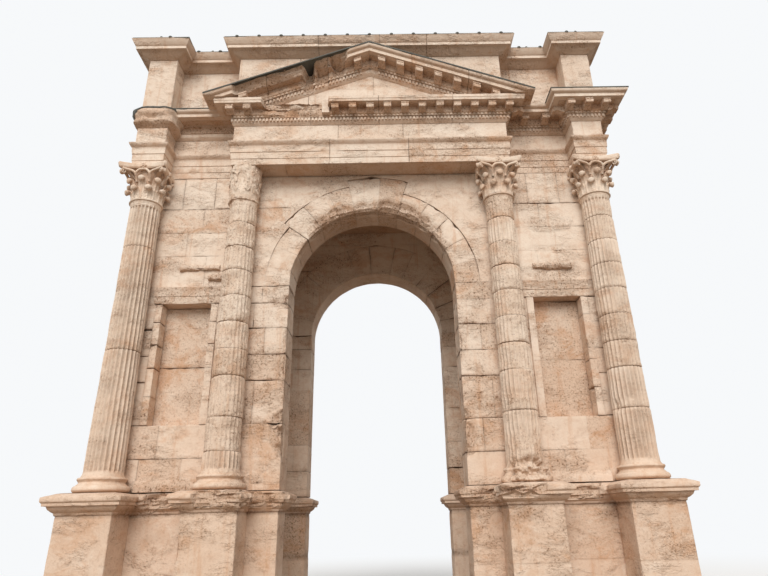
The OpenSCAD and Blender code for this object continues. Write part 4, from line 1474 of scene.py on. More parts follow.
@dataclass
class Carving:
    """Repeats one band's form along the straight parts of a moulding."""

    path: Outline
    band: Band
    foot: float
    seed: int
    losses: tuple[Loss, ...] = ()
    bend: Place | None = None
    worn: float = 0.12
    parts: Sequence[int] | None = None

    def _places(self, i: int, steps: Sequence[Array]) -> Array:
        """Where the forms stand on one straight part of the path.

        Args:
            i: The part's number.
            steps: All the parts, as steps from corner to corner.

        Returns:
            The forms' distances from the part's start.
        """
        band, along = self.band, steps[i] / np.linalg.norm(steps[i])
        ends = [0.0, 0.0]
        for k, other in enumerate((i - 1, i + 1)):
            if 0 <= other < len(steps):
                turn = (along[0] * steps[other][1] - along[1] * steps[other][0]) * (2 * k - 1)
                ends[k] = band.out if turn > 1e-6 else -(band.out + band.reach)
        low, high = -ends[0] + band.half, float(np.linalg.norm(steps[i])) + ends[1] - band.half
        count = int((high - low) / band.pitch + 0.05) + 1 if high > low else 0
        apart = (high - low) / (count - 1) if count > 1 else 0.0
        if apart > 1.25 * band.pitch:
            apart = band.pitch
        return (low + high) / 2 + (np.arange(count) - (count - 1) / 2) * apart

    def add_to(self, shape: Shape) -> None:
        """Adds the forms to a shape, but for those that a loss has taken.

        Args:
            shape: Where it is added.
        """
        dice = np.random.default_rng(self.seed)
        corners = [np.array(p, float) for p in self.path]
        steps = [b - a for a, b in zip(corners, corners[1:])]
        body = np.concatenate(self.band.form.points)
        for i in range(len(steps)) if self.parts is None else self.parts:
            along = steps[i] / float(np.linalg.norm(steps[i]))
            outward = np.array([along[1], -along[0]])
            for s in self._places(i, steps):
                x = body[:, 0] + s
                y = self.band.out - body[:, 1] * (1.0 - self.worn * dice.uniform(0.0, 1.0))
                flat = np.column_stack([corners[i] + along * x[:, None] + outward * y[:, None],
                                        self.foot + self.band.up + body[:, 2]])
                there = self.bend(flat) if self.bend else flat
                centre = there.mean(0)
                if not any((centre > l.low).all() and (centre < l.high).all()
                           and self.band.out + 0.03 > l.left for l in self.losses):
                    shape.join(self.band.form, lambda _p, t=there: t)


# ---- capitals
def smooth_line(marks: Sequence[Sequence[float]], count: int) -> Array:
    """A soft curve through marks, as evenly counted points.

    Args:
        marks: The points that the curve passes through.
        count: How many points to give back.

    Returns:
        The points, one a row.
    """
    knots = np.array(marks, float)
    knots = np.vstack([2 * knots[0] - knots[1], knots, 2 * knots[-1] - knots[-2]])
    steps = np.linspace(0, len(knots) - 3 - 1e-9, count)
    i = steps.astype(int)
    t = (steps - i)[:, None]
    a, b, c, d = knots[i], knots[i + 1], knots[i + 2], knots[i + 3]
    return 0.5 * (2 * b + (c - a) * t + (2 * a - 5 * b + 4 * c - d) * t ** 2
                  + (3 * b - a - 3 * c + d) * t ** 3)


def swept(line: Array, aside: Array, section: Outline, wide: Array, thick: Array) -> Shape:
    """A bar along a line, closed at its far end.

    Args:
        line: The bar's middle line.
        aside: The direction of its width at each point.
        section: Its outline in halves of its width and thickness.
        wide: Half its width at each point.
        thick: Half its thickness at each point.

    Returns:
        The bar.
    """
    ahead = np.gradient(line, axis=0)
    ahead /= np.linalg.norm(ahead, axis=1, keepdims=True)
    normal = np.cross(ahead, aside)
    normal /= np.linalg.norm(normal, axis=1, keepdims=True)
    points = np.stack([line + aside * wide[:, None] * a + normal * thick[:, None] * b
                       for a, b in section], 1)
    made = Shape()
    sheet(points.reshape(-1, 3), len(line), len(section), made, wrap=True, tone=0.42, wear=0.3)
    end = points[-1]
    made.add(np.vstack([end, end.mean(0)]), np.zeros((0, 4), int),
             [(j, len(end), (j + 1) % len(end)) for j in range(len(end))], tone=0.42, wear=0.3)
    return made


@dataclass
class Capital:
    """A capital of two rows of plain leaves with curled tips, corner volutes and hollow sides."""

    seed: int
    wear: float = 0.2
    neck: float = 0.285
    lip: float = 0.375
    abacus_z: float = 0.675
    abacus_half: float = 0.55
    abacus_side: float = 0.4235
    tips: Pair = (0.43, 0.455)
    knob: float = 0.066
    fine: bool = True
    most: float = 9.0
    high: float = 0.8

    def _bell(self, z: Array) -> Array:
        """The bell's radius at a height."""
        t = unit(z / self.abacus_z)
        return self.neck + (self.lip - self.neck) * t ** 3

    def _side(self, y: Array) -> Array:
        """How far a hollow side of the abacus stands out."""
        radius = 2.2 * self.abacus_half
        return self.abacus_side + radius - np.sqrt(radius ** 2 - y ** 2)

    def _basket(self, shape: Shape) -> None:
        """The bell behind the leaves."""
        z = np.array([-0.02, 0.05, 0.15, 0.25, 0.35, 0.45, 0.53, 0.6, 0.66, 0.7])
        turn = np.linspace(0, 2 * pi, 40, endpoint=False)
        points = np.array([(a * cos(t), a * sin(t), h) for a, h in zip(self._bell(z), z)
                           for t in turn])
        sheet(points, len(z), len(turn), shape, wrap=True, turned=True, tone=0.6, wear=0.5)

    def _leaf(self, high: float, wide: float) -> Shape:
        """One plain leaf facing +X, with a faint midrib and a rounded, drooping tip.

        Args:
            high: Its height.
            wide: Its width.

        Returns:
            The leaf.
        """
        tip, knob = self.tips[high > 0.4], self.knob
        rows = 12 if self.fine else 8
        across = np.linspace(-1, 1, 9 if self.fine else 7)
        s = np.linspace(0, 1, rows)
        z = s * (high - 0.02)
        x = self.neck + 0.036 + (tip - self.neck - 0.05) * s ** 3
        half = 0.5 * wide * (0.92 + 0.06 * np.sin(pi * s)) * np.sqrt(1.0 - 0.45 * s ** 6)
        a, i = np.meshgrid(across, np.arange(rows))
        edge = np.abs(a)
        relief = 0.01 * np.exp(-(a / 0.16) ** 2)
        relief = relief - 0.012 * np.exp(-((edge - 0.45) / 0.22) ** 2) - 0.012 * edge ** 6
        front = np.stack([x[i] + relief, a * half[i], z[i] + 0 * a], -1)
        back = np.stack([x[i] - 0.055, a * half[i] * 0.92, z[i] + 0 * a], -1)
        for part in (front, back):
            swing = part[..., 1] / self.lip
            reach = part[..., 0].copy()
            part[..., 0], part[..., 1] = reach * np.cos(swing), reach * np.sin(swing)
        ring = np.concatenate([front, back[:, ::-1]], axis=1)
        made = Shape()
        sheet(ring.reshape(-1, 3), rows, ring.shape[1], made, wrap=True, turned=True, tone=0.45,
              wear=0.35)
        turns, layers = (16, 10) if self.fine else (10, 7)
        ball = []
        for b in np.linspace(-pi / 2, pi / 2, layers):
            droop = 1.25 if b < 0 else 0.8
            flat = knob * cos(b) * (1.0 if b > 0 else 0.94)
            ball += [(tip - 0.02 + flat * cos(t), 1.16 * flat * sin(t),
                      high - 0.7 * knob + knob * droop * sin(b) * (0.86 + 0.2 * cos(t)))
                     for t in np.linspace(0, 2 * pi, turns, endpoint=False)]
        sheet(np.array(ball), layers, turns, made, wrap=True, turned=True, tone=0.4, wear=0.35)
        return made

    def _volute(self) -> Shape:
        """The scroll under a corner of the abacus, facing +X."""
        stem = smooth_line([(0.34, 0.5), (0.4, 0.56), (0.48, 0.618), (0.56, 0.655),
                            (0.6, 0.664)], 12 if self.fine else 8)
        turns = np.linspace(0.08, 1.45, 26 if self.fine else 14) * 2 * pi
        radius = 0.066 * (1 - 0.84 * turns / turns[-1])
        spiral = np.column_stack([0.618 + radius * np.sin(turns), 0.6 + radius * np.cos(turns)])
        flat = np.vstack([stem, spiral])
        count = len(flat)
        line = np.column_stack([flat[:, 0], np.zeros(count), flat[:, 1]])
        half = [(1, -1), (1, 0.6), (0.84, 1), (0.6, 0.9), (0.45, 0.3)]
        section = [(-a, b) for a, b in half] + half[::-1]
        share = np.linspace(0, 1, count)
        return swept(line, np.tile([0.0, 1.0, 0.0], (count, 1)), section, 0.042 + 0.022 * share,
                     np.full(count, 0.013))

    def _rib(self, marks: Outline, inset: float, count: int) -> Shape:
        """A bold rib on the +X side, which follows the hollow side of the abacus.

        Args:
            marks: Its line, as places across and up.
            inset: How far it stays behind the hollow side.
            count: How many points the line gets.

        Returns:
            The rib.
        """
        flat = smooth_line(marks, count if self.fine else count // 2)
        blend = unit((flat[:, 1] - 0.42) / 0.15)
        low = np.sqrt(np.maximum((self._bell(flat[:, 1]) + 0.05) ** 2 - flat[:, 0] ** 2, 0.01))
        x = low + (self._side(flat[:, 0]) - inset - low) * blend
        line = np.column_stack([x, flat])
        turn = np.linspace(0, 2 * pi, 10, endpoint=False)
        section = [(cos(t), sin(t)) for t in turn]
        n = len(line)
        return swept(line, np.tile([1.0, 0.0, 0.0], (n, 1)), section, np.full(n, 0.034),
                     np.linspace(0.024, 0.033, n))

    def _abacus(self, shape: Shape) -> None:
        """The slab on top, with hollow sides and cut corners.

        Args:
            shape: Where it is added.
        """
        cut = 1.33 * self.abacus_half * sqrt(2)
        n = 16 if self.fine else 9
        wide = np.linspace(0, self.abacus_half, 200)
        end = wide[(self._side(wide) + wide) < cut][-1]
        ys = np.linspace(-end, end, n)
        xs = self._side(ys)
        plan = np.vstack([np.column_stack([xs * cos(t) - ys * sin(t),
                                           xs * sin(t) + ys * cos(t)])
                          for t in (0, pi / 2, pi, 1.5 * pi)])
        far = np.linalg.norm(plan, axis=1, keepdims=True)
        rows = ((0.22, 0.674), (0.05, 0.675), (0.022, 0.677), (0.012, 0.684), (0.01, 0.7),
                (0.002, 0.706), (0.0, 0.714), (0.0, 0.78), (0.004, 0.79), (0.014, 0.798),
                (0.05, 0.8), (0.3, 0.801))
        points = np.vstack([np.column_stack([plan * (1 - back / far), np.full(len(plan), z)])
                            for back, z in rows])
        sheet(points, len(rows), len(plan), shape, wrap=True, turned=True, tone=0.45, wear=0.35)

    def _flower(self) -> Shape:
        """The flower in the middle of an abacus side, facing +X."""
        made = Shape()
        turn = np.linspace(0, 2 * pi, 20, endpoint=False)
        rows = []
        for share, bulge in ((1.0, -0.02), (1.0, 0.012), (0.85, 0.035), (0.6, 0.045), (0.36, 0.034),
                             (0.3, 0.044), (0.16, 0.056), (0.02, 0.059)):
            petal = 0.07 * share * (1 + (0.16 * np.cos(5 * turn) if share > 0.35 else 0))
            rows.append(np.column_stack([np.full(20, 0.412 + bulge), petal * np.cos(turn),
                                         0.735 + petal * np.sin(turn)]))
        sheet(np.vstack(rows), len(rows), 20, made, wrap=True, turned=True, tone=0.45, wear=0.35)
        return made

    def _worn(self, place: Triple) -> Place:
        """Rounds and eats the carving, then moves it to its column.

        Args:
            place: The middle of the capital's foot.

        Returns:
            The move.
        """
        grain = Grain(self.seed)

        def move(points: Array) -> Array:
            """Wears points and moves them.

            Args:
                points: The points, one a row.

            Returns:
                The moved points.
            """
            base = self._bell(points[:, 2])
            far = np.hypot(points[:, 0], points[:, 1])
            out = np.maximum(far - base, 0.0)
            noise = grain.layered(points + place, 0.34, 3)
            fine = grain.layered(points + place, 0.08, 2)
            keep = np.clip(1.0 - self.wear * (0.25 + 0.9 * np.clip(noise + 0.35, 0, 1)), 0.22, 1.0)
            keep = np.where(points[:, 2] > 0.745, 0.45 + 0.55 * keep, keep)
            new = np.minimum(far, base) + out * keep
            new = new - (0.002 + 0.022 * self.wear) * fine * (out > 0.005)
            if self.most < 1.0:
                hollow = 0.075 * np.exp(-((np.abs(points[:, 0]) / 0.11) ** 4)
                                        - ((points[:, 2] - 0.42) / 0.24) ** 4) * (points[:, 1] < 0)
                new = np.minimum(new, self.most * (1.0 + 0.14 * noise) + 0.03 * fine - hollow)
            moved = points.copy()
            share = new / np.maximum(far, 1e-6)
            moved[:, 0] *= share
            moved[:, 1] *= share
            moved[:, 2] += 0.014 * self.wear * fine * (points[:, 2] < 0.79)
            return moved + place
        return move

    def add_to(self, shape: Shape, place: Triple) -> None:
        """Carves the capital and sets it on its column.

        Args:
            shape: Where the capital is added.
            place: The middle of its foot.
        """
        carved = Shape()
        self._basket(carved)
        low, tall = self._leaf(0.272, 0.205), self._leaf(0.48, 0.19)
        outer = self._rib([(0.135, 0.38), (0.148, 0.47), (0.158, 0.55), (0.205, 0.6),
                           (0.285, 0.628), (0.42, 0.65)], 0.02, 22)
        inner = self._rib([(0.15, 0.5), (0.15, 0.555), (0.12, 0.605), (0.065, 0.645),
                           (-0.01, 0.658)], 0.012, 16)
        volute, flower = self._volute(), self._flower()

        def turned(angle: float, mirrored: bool = False) -> Place:
            """Turns points about the column, mirrored first if asked."""
            c, d = cos(radians(angle)), sin(radians(angle))
            way = -1.0 if mirrored else 1.0
            return lambda p: np.column_stack([p[:, 0] * c - way * p[:, 1] * d,
                                              p[:, 0] * d + way * p[:, 1] * c, p[:, 2]])

        for k in range(8):
            carved.join(low, turned(45 * k + 22.5))
            carved.join(tall, turned(45 * k))
        for k in range(4):
            carved.join(volute, turned(90 * k + 45))
            carved.join(flower, turned(90 * k))
            for mirrored in (False, True):
                carved.join(outer, turned(90 * k, mirrored), flip=mirrored)
                carved.join(inner, turned(90 * k, mirrored), flip=mirrored)
        self._abacus(carved)
        shape.join(carved, self._worn(place))


# ---- entablature
def stepped_path(wall_x: float = PLAN.wall_x, wall_y: float = PLAN.wall_y,
                 half: float = PLAN.break_x, out_y: float = PLAN.break_y,
                 corner_half: float = PLAN.corner_half, lump: bool = False) -> Outline:
    """The plan of a main front above the columns, from its left end to its right one.

    Args:
        wall_x: Where the side faces are.
        wall_y: How far the set-back wall lies from the middle.
        half: Half the width of the middle part that stands out.
        out_y: How far the parts that stand out lie from the middle.
        corner_half: Half the width of the part over a corner column.
        lump: Leaves out the left corner, whose cornice is a worn lump.

    Returns:
        The corners of the plan, with the outside on the right hand.
    """
    a, b = PLAN.col_out_x - corner_half, PLAN.col_out_x + corner_half
    back = -out_y + 2 * corner_half
    right = [(half, -out_y), (half, -wall_y), (a, -wall_y), (a, -out_y), (b, -out_y), (b, back),
             (wall_x, back), (wall_x, -PLAN.inner_y)]
    left = [(-x, y) for x, y in reversed(right)]
    if lump:
        left = [(-wall_x, -PLAN.inner_y), (-wall_x, -wall_y), (-half, -wall_y), (-half, -out_y)]
    return left + right


CORNICE = ((-0.04, 0.0), (0.008, 0.0), (0.02, 0.02), (0.045, 0.05), (0.056, 0.072),
           (0.062, 0.079), (0.062, 0.152), (0.096, 0.156), (0.1, 0.162), (0.112, 0.18),
           (0.128, 0.2), (0.143, 0.212), (0.147, 0.22), (0.147, 0.345), (0.446, 0.347),
           (0.454, 0.351), (0.455, 0.424), (0.47, 0.43), (0.496, 0.44), (0.512, 0.458),
           (0.521, 0.485), (0.525, 0.505), (0.525, 0.53), (-0.3, 0.53))
LEVEL_CORNICE = CORNICE[:13] + ((0.147, 0.358), (0.38, 0.36), (0.388, 0.364), (0.392, 0.42),
                                (0.404, 0.426), (0.404, 0.5), (-0.3, 0.505))
ARCHITRAVE = ((-0.04, 0.0), (0.0, 0.0), (0.0, 0.145), (0.017, 0.149), (0.017, 0.305),
              (0.036, 0.309), (0.036, 0.468), (0.042, 0.476), (0.06, 0.498), (0.078, 0.52),
              (0.088, 0.545), (0.094, 0.553), (0.094, 0.59), (0.0, 0.594))


def lifted(outline: Outline, height: float) -> list[Pair]:
    """An outline moved up."""
    return [(o, z + height) for o, z in outline]


@dataclass
class Entablature(Part):
    """Architrave, frieze and cornice of one main front, breaking forward over its columns."""

    cell: float = 0.07
    losses: tuple[Loss, ...] = ()
    lump: bool = False

    def architrave(self) -> None:
        """Three fascias under a moulding, over stones that show below and inside."""
        stones = Masonry(self.seed, self.cell * 1.6)
        z = (PLAN.column_z, PLAN.frieze_z)
        front, turn = -PLAN.break_y + 0.012, self.facing.turn
        stones.course((-PLAN.break_x + 0.01, PLAN.break_x - 0.01), (front, -PLAN.wall_y), z,
                      (-1.9, -0.55, 0.7, 2.0), shown=(Side.BOTTOM,), bend=turn)
        half = PLAN.corner_half
        for side in (-1, 1):
            low, high = span(side, PLAN.col_out_x - half + 0.01, PLAN.col_out_x + half - 0.01)
            stones.lay(Block((low, front, z[0]), (high, -PLAN.break_y + 2 * half - 0.01, z[1]),
                             (Side.BOTTOM,), turn))
        stones.course((-PLAN.inner_x, PLAN.inner_x), (-PLAN.wall_y + 0.02, -PLAN.inner_y), z,
                      (-2.6, -1.2, 0.1, 1.5, 2.8), shown=(Side.BACK,), bend=turn)
        Run(stepped_path(), lifted(ARCHITRAVE, z[0]), self.seed + 1, cell=self.cell, stone=1.9,
            arris=0.007, bend=turn).add_to(stones.shape)
        self.stand(stones.shape, "architrave")

    def frieze(self) -> None:
        """A plain band."""
        shape = Shape()
        Run(stepped_path(), [(0.0, PLAN.frieze_z), (0.0, PLAN.cornice_z)], self.seed + 2,
            cell=self.cell, stone=2.1, rough=0.005, bend=self.facing.turn).add_to(shape)
        self.stand(shape, "frieze")

    def cornice(self) -> None:
        """Dentils, eggs, brackets and corona, level under the pediment."""
        shape = Shape()
        turn, z = self.facing.turn, PLAN.cornice_z
        path = stepped_path(lump=self.lump)
        middle = path.index((-PLAN.break_x, -PLAN.break_y))
        for i, part in enumerate((path[:middle], path[middle - 1:middle + 3], path[middle + 2:])):
            outline, soffit = (LEVEL_CORNICE, 0.359) if i == 1 else (CORNICE, 0.346)
            Run(part, lifted(outline, z), self.seed + 3 + i, cell=self.cell * 0.9, stone=1.5,
                arris=0.009, losses=self.losses, bend=turn, wear=0.3, capped=True,
                brown=(z + 0.17, z + soffit)).add_to(shape)
        others = [i for i in range(len(path) - 1) if i != middle]
        for band, parts in ((DENTILS, None), (EGGS, None), (SHORT_BRACKETS, [middle]),
                            (BRACKETS, others)):
            Carving(path, band, z, self.seed + 9, self.losses, turn, parts=parts).add_to(shape)
        if self.lump:
            WornCorner().add_to(shape)
            mended = Masonry(self.seed + 7, 0.05, shape=shape)
            mended.lay(Block((-1.09, -PLAN.break_y - 0.21, z + 0.2),
                             (-0.91, -PLAN.break_y + 0.02, z + 0.5),
                             (Side.FRONT, Side.LEFT, Side.RIGHT, Side.BOTTOM, Side.TOP), turn,
                             tone=0.2))
        self.stand(shape, "cornice")

    def build(self) -> None:
        """Builds the three courses."""
        self.architrave()
        self.frieze()
        self.cornice()


@dataclass
class WornCorner:
    """What is left of the cornice over the left corner column, under a draped metal sheet."""

    seed: int = 171
    centre: Pair = (-4.897, -2.379)
    half: float = 0.338
    outline: Outline = (
        (-0.05, -0.02), (0.004, 0.0), (0.035, 0.03), (0.085, 0.065), (0.12, 0.105),
        (0.128, 0.15), (0.1, 0.2), (0.112, 0.245), (0.15, 0.3), (0.168, 0.37),
        (0.16, 0.43), (0.125, 0.48), (0.05, 0.515), (-0.2, 0.525), (-0.33, 0.526))

    def _swept(self, out: Array, up: Array, turn: Array) -> Array:
        """Points round the corner block, squarer at its foot and lumpy above.

        Args:
            out: How far each stands out from the block.
            up: Its height over the block's foot.
            turn: Its angle round the block's middle.

        Returns:
            The points, one a row.
        """
        power = 9.0 - 5.6 * unit(up / 0.3)
        c, d = np.cos(turn), np.sin(turn)
        far = (self.half + out) * (np.abs(c) ** power + np.abs(d) ** power) ** (-1.0 / power)
        points = np.column_stack([self.centre[0] + far * c, self.centre[1] + far * d,
                                  PLAN.cornice_z + up])
        grain = Grain(self.seed)
        lumps = grain.layered(points * (1.0, 1.0, 1.8), 0.3, 4)
        bulk = unit(out / 0.05)
        far += bulk * (0.06 * lumps + 0.018 * grain.layered(points + 4.0, 0.07, 2))
        points[:, 0], points[:, 1] = self.centre[0] + far * c, self.centre[1] + far * d
        return points

    def add_to(self, shape: Shape) -> None:
        """Adds the stone."""
        outline = refined(self.outline, 0.03)
        turn = np.linspace(0.0, 2 * pi, 110, endpoint=False)
        i, t = np.meshgrid(np.arange(len(outline)), turn, indexing="ij")
        points = self._swept(outline[i.ravel(), 0], outline[i.ravel(), 1], t.ravel())
        sheet(points, len(outline), len(turn), shape, wrap=True, turned=True, tone=0.35, wear=0.6)

    def drape(self, shape: Shape) -> None:
        """Adds the sheet over its top, which hangs down furthest at the left.

        Args:
            shape: Where it is added.
        """
        profile = np.array(self.outline)[1:12]
        turn = np.linspace(0.0, 2 * pi, 72, endpoint=False)
        hang = 0.07 + 0.3 * unit(-np.cos(turn) * 1.5 - 0.55)
        rows = []
        for share in (-3.0, -2.0, -1.0, 0.0, 0.12, 0.3, 0.55, 0.8, 1.0):
            up = 0.515 - hang * max(share, 0.0)
            out = np.interp(up, profile[:, 1], profile[:, 0]) + 0.016
            if share <= 0.0:
                up, out = np.full_like(hang, 0.535), np.full_like(hang, 0.1 + 0.13 * share)
            rows.append(self._swept(out, up, turn))
        sheet(np.vstack(rows), len(rows), len(turn), shape, wrap=True)


@dataclass
class SideEntablature(Part):
    """Architrave, frieze and cornice over a side arch."""

    cell: float = 0.1

    def build(self) -> None:
        """Sweeps the three courses straight across."""
        path = [(-PLAN.inner_y, -PLAN.wall_x), (PLAN.inner_y, -PLAN.wall_x)]
        turn = self.facing.turn
        stones = Masonry(self.seed, 0.14)
        stones.course((-PLAN.inner_y, PLAN.inner_y), (-PLAN.wall_x + 0.02, -PLAN.inner_x),
                      (PLAN.column_z, PLAN.attic_z), (-0.5, 0.6), shown=(Side.BACK,), bend=turn)
        whole = [*lifted(ARCHITRAVE, PLAN.column_z), (0.0, PLAN.cornice_z - 0.001),
                 *lifted(CORNICE[1:], PLAN.cornice_z)]
        Run(path, whole, self.seed + 1, cell=self.cell, stone=1.4, bend=turn).add_to(stones.shape)
        for band in (DENTILS, BRACKETS):
            Carving(path, band, PLAN.cornice_z, self.seed, bend=turn).add_to(stones.shape)
        self.stand(stones.shape, "entablature")


@dataclass
class Pediment(Part):
    """The triangle over a main front: a plain tympanum under raking cornices."""

    cell: float = 0.06
    losses: tuple[Loss, ...] = ()
    slope: float = 1.4 / PLAN.pediment_half
    foot: float = -0.53

    def raked(self, points: Array) -> Array:
        """Shears a level moulding to the slope and turns it to this face."""
        z = PLAN.apex_z - np.abs(points[:, 0]) * self.slope
        z = np.maximum(z + points[:, 2] * math.hypot(1.0, self.slope), PLAN.attic_z - 0.04)
        return self.facing.turn(np.column_stack([points[:, 0], points[:, 1], z]))

    def _under(self, points: Array) -> Array:
        """Keeps the tympanum's stones under the raking cornices."""
        roof = PLAN.apex_z - np.abs(points[:, 0]) * self.slope - 0.4
        z = np.minimum(points[:, 2], np.maximum(roof, PLAN.attic_z - 0.03))
        return self.facing.turn(np.column_stack([points[:, 0], points[:, 1], z]))

    def build(self) -> None:
        """Builds tympanum, raking cornices and their carving."""
        shape = Shape()
        y, half = -PLAN.break_y, PLAN.pediment_half
        Run([(-PLAN.break_x, y), (PLAN.break_x, y)],
            [(0.0, PLAN.attic_z - 0.03), (0.0, PLAN.apex_z - 0.4)], self.seed, cell=0.07,
            stone=1.6, beds=(11.36,), bend=self._under).add_to(shape)
        for i, (low, high) in enumerate(((-half, -0.001), (0.001, half))):
            Run([(low, y), (high, y)], lifted(CORNICE, self.foot), self.seed + 1 + i,
                cell=self.cell, stone=1.3, arris=0.009, losses=self.losses, bend=self.raked,
                capped=True, wear=0.3, brown=(-0.36, -0.184)).add_to(shape)
            carved = (low + (0.19 if i else 0.75), y), (high - (0.75 if i else 0.19), y)
            for band in (DENTILS, EGGS, replace(BRACKETS, pitch=0.41)):
                Carving(carved, band, self.foot, self.seed + 4, self.losses,
                        self.raked).add_to(shape)
        self.stand(shape, "pediment")


@dataclass
class Attic:
    """The low storey over the cornice, with its own cornice."""

    finish: Material
    seed: int = 77
    wall_x: float = 4.83
    wall_y: float = 2.22
    half: float = 3.086
    out_y: float = 2.7
    corner_half: float = 0.3315
    outline: Outline = (
        (-0.04, 0.0), (0.01, 0.0), (0.03, 0.016), (0.08, 0.04), (0.13, 0.075),
        (0.165, 0.11), (0.192, 0.129), (0.259, 0.131), (0.259, 0.205), (0.27, 0.212),
        (0.285, 0.235), (0.312, 0.285), (0.335, 0.33), (0.344, 0.355), (0.35, 0.36),
        (0.35, 0.38), (-0.3, 0.38))

    def build(self) -> None:
        """Builds the walls face by face and the cornice in one piece."""
        cornice = Shape()
        for facing in Facing:
            path = [(-PLAN.inner_y, -self.wall_x), (PLAN.inner_y, -self.wall_x)]
            if facing in (Facing.FRONT, Facing.BACK):
                path = stepped_path(self.wall_x, self.wall_y, self.half, self.out_y,
                                    self.corner_half)
            wall = Shape()
            cell = 0.07 if facing is Facing.FRONT else 0.12
            Run(path, [(0.0, PLAN.attic_z), (0.0, PLAN.attic_cornice_z)],
                self.seed + facing.value, cell=cell, stone=1.7, beds=(11.52,), rough=0.006,
                bend=facing.turn, wear=0.25).add_to(wall)
            Run(path, lifted(self.outline, PLAN.attic_cornice_z), self.seed + 5 + facing.value,
                cell=cell, stone=1.6, bend=facing.turn, arris=0.006).add_to(cornice)
            wall.stand_for(f"attic_{facing.label}", self.finish)
        cornice.stand_for("attic_cornice", self.finish)


@dataclass
class Flashing(Part):
    """Sheet metal folded over the ledges, which sags where the stone under it is gone."""

    lump: bool = False
    level: Outline = ((0.5, 0.002), (0.532, -0.014), (0.536, -0.012), (0.534, 0.01),
                      (-0.05, 0.03))
    over: Outline = ((-0.02, -0.012), (0.5, -0.01), (0.53, -0.022), (0.54, -0.02),
                     (0.538, 0.012), (-0.05, 0.03))
    knobs: int = 19
    knob_pitch: float = 0.52
    knob: Outline = ((0.045, -0.01), (0.05, 0.014), (0.042, 0.036), (0.022, 0.05),
                     (0.002, 0.053))

    def build(self) -> None:
        """Lays the sheets on the level and raking cornices of one main front, with their knobs."""
        shape = Shape()
        turn, half, y = self.facing.turn, PLAN.pediment_half, -PLAN.break_y
        path = stepped_path(lump=self.lump)
        middle = path.index((-PLAN.break_x, y))
        for part in (path[:middle], path[middle + 3:]):
            Run(part, lifted(self.level, PLAN.attic_z), self.seed, cell=0.25, stone=WHOLE,
                rough=0.002, arris=0.0, bend=turn).add_to(shape)
        for part in ([(-half, y), (-0.001, y)], [(0.001, y), (half, y)]):
            Run(part, self.over, self.seed + 1, cell=0.2, stone=WHOLE, rough=0.003, arris=0.0,
                bend=Pediment(self.finish, self.facing, self.seed).raked).add_to(shape)
        if self.lump:
            WornCorner().drape(shape)
        angles = np.linspace(0.0, 2 * pi, 10, endpoint=False)
        for k in range(-(self.knobs // 2), self.knobs // 2 + 1):
            x, y = self.knob_pitch * k, -2.54 if abs(k) in (7, 8) else -3.02
            ball = np.array([(x + r * cos(a), y + r * sin(a), PLAN.roof_z + h)
                             for r, h in self.knob for a in angles])
            sheet(turn(ball), len(self.knob), len(angles), shape, wrap=True, turned=True)
        shape.make(f"flashing_{self.facing.label}", self.finish)


# ---- studio and camera
def placed(name: str, data: bpy.types.ID, axes: Sequence[Array],
           place: Triple = (0.0, 0.0, 0.0)) -> bpy.types.Object:
    """Puts a camera or a lamp into the scene.

    Args:
        name: Its name.
        data: The camera's or the lamp's own settings.
        axes: Where its X, Y and Z point.
        place: Where it stands.

    Returns:
        The new object.
    """
    made = bpy.data.objects.new(name, data)
    turn = np.eye(4)
    turn[:3, :3], turn[:3, 3] = np.column_stack(axes), place
    made.matrix_world = Matrix(turn.tolist())
    bpy.context.scene.collection.objects.link(made)
    return made


@dataclass(frozen=True)
class Viewpoint:
    """Where the photograph was taken from, and its frame in pixels."""

    place: Triple = (0.3393, -13.708, 2.092)
    yaw: float = 0.016
    pitch: float = 0.3939
    roll: float = -0.0256
    focal_px: float = 588.94
    centre_px: Pair = (397.17, 275.26)
    frame_px: tuple[int, int] = (768, 576)
    sensor: float = 36.0
    far: float = 400.0

    def camera(self) -> None:
        """Sets up the scene's camera."""
        ahead = np.array([sin(self.yaw) * cos(self.pitch),
                          cos(self.yaw) * cos(self.pitch), sin(self.pitch)])
        right = np.array([cos(self.yaw), -sin(self.yaw), 0.0])
        up = np.cross(right, ahead)
        x = cos(self.roll) * right + sin(self.roll) * up
        y = -sin(self.roll) * right + cos(self.roll) * up
        lens = bpy.data.cameras.new("camera")
        wide, high = self.frame_px
        lens.sensor_fit = "HORIZONTAL"
        lens.sensor_width = self.sensor
        lens.lens = self.focal_px / wide * self.sensor
        lens.shift_x = (wide / 2 - self.centre_px[0]) / wide
        lens.shift_y = (self.centre_px[1] - high / 2) / wide
        lens.clip_end = self.far
        bpy.context.scene.camera = placed("camera", lens, (x, y, -ahead), self.place)


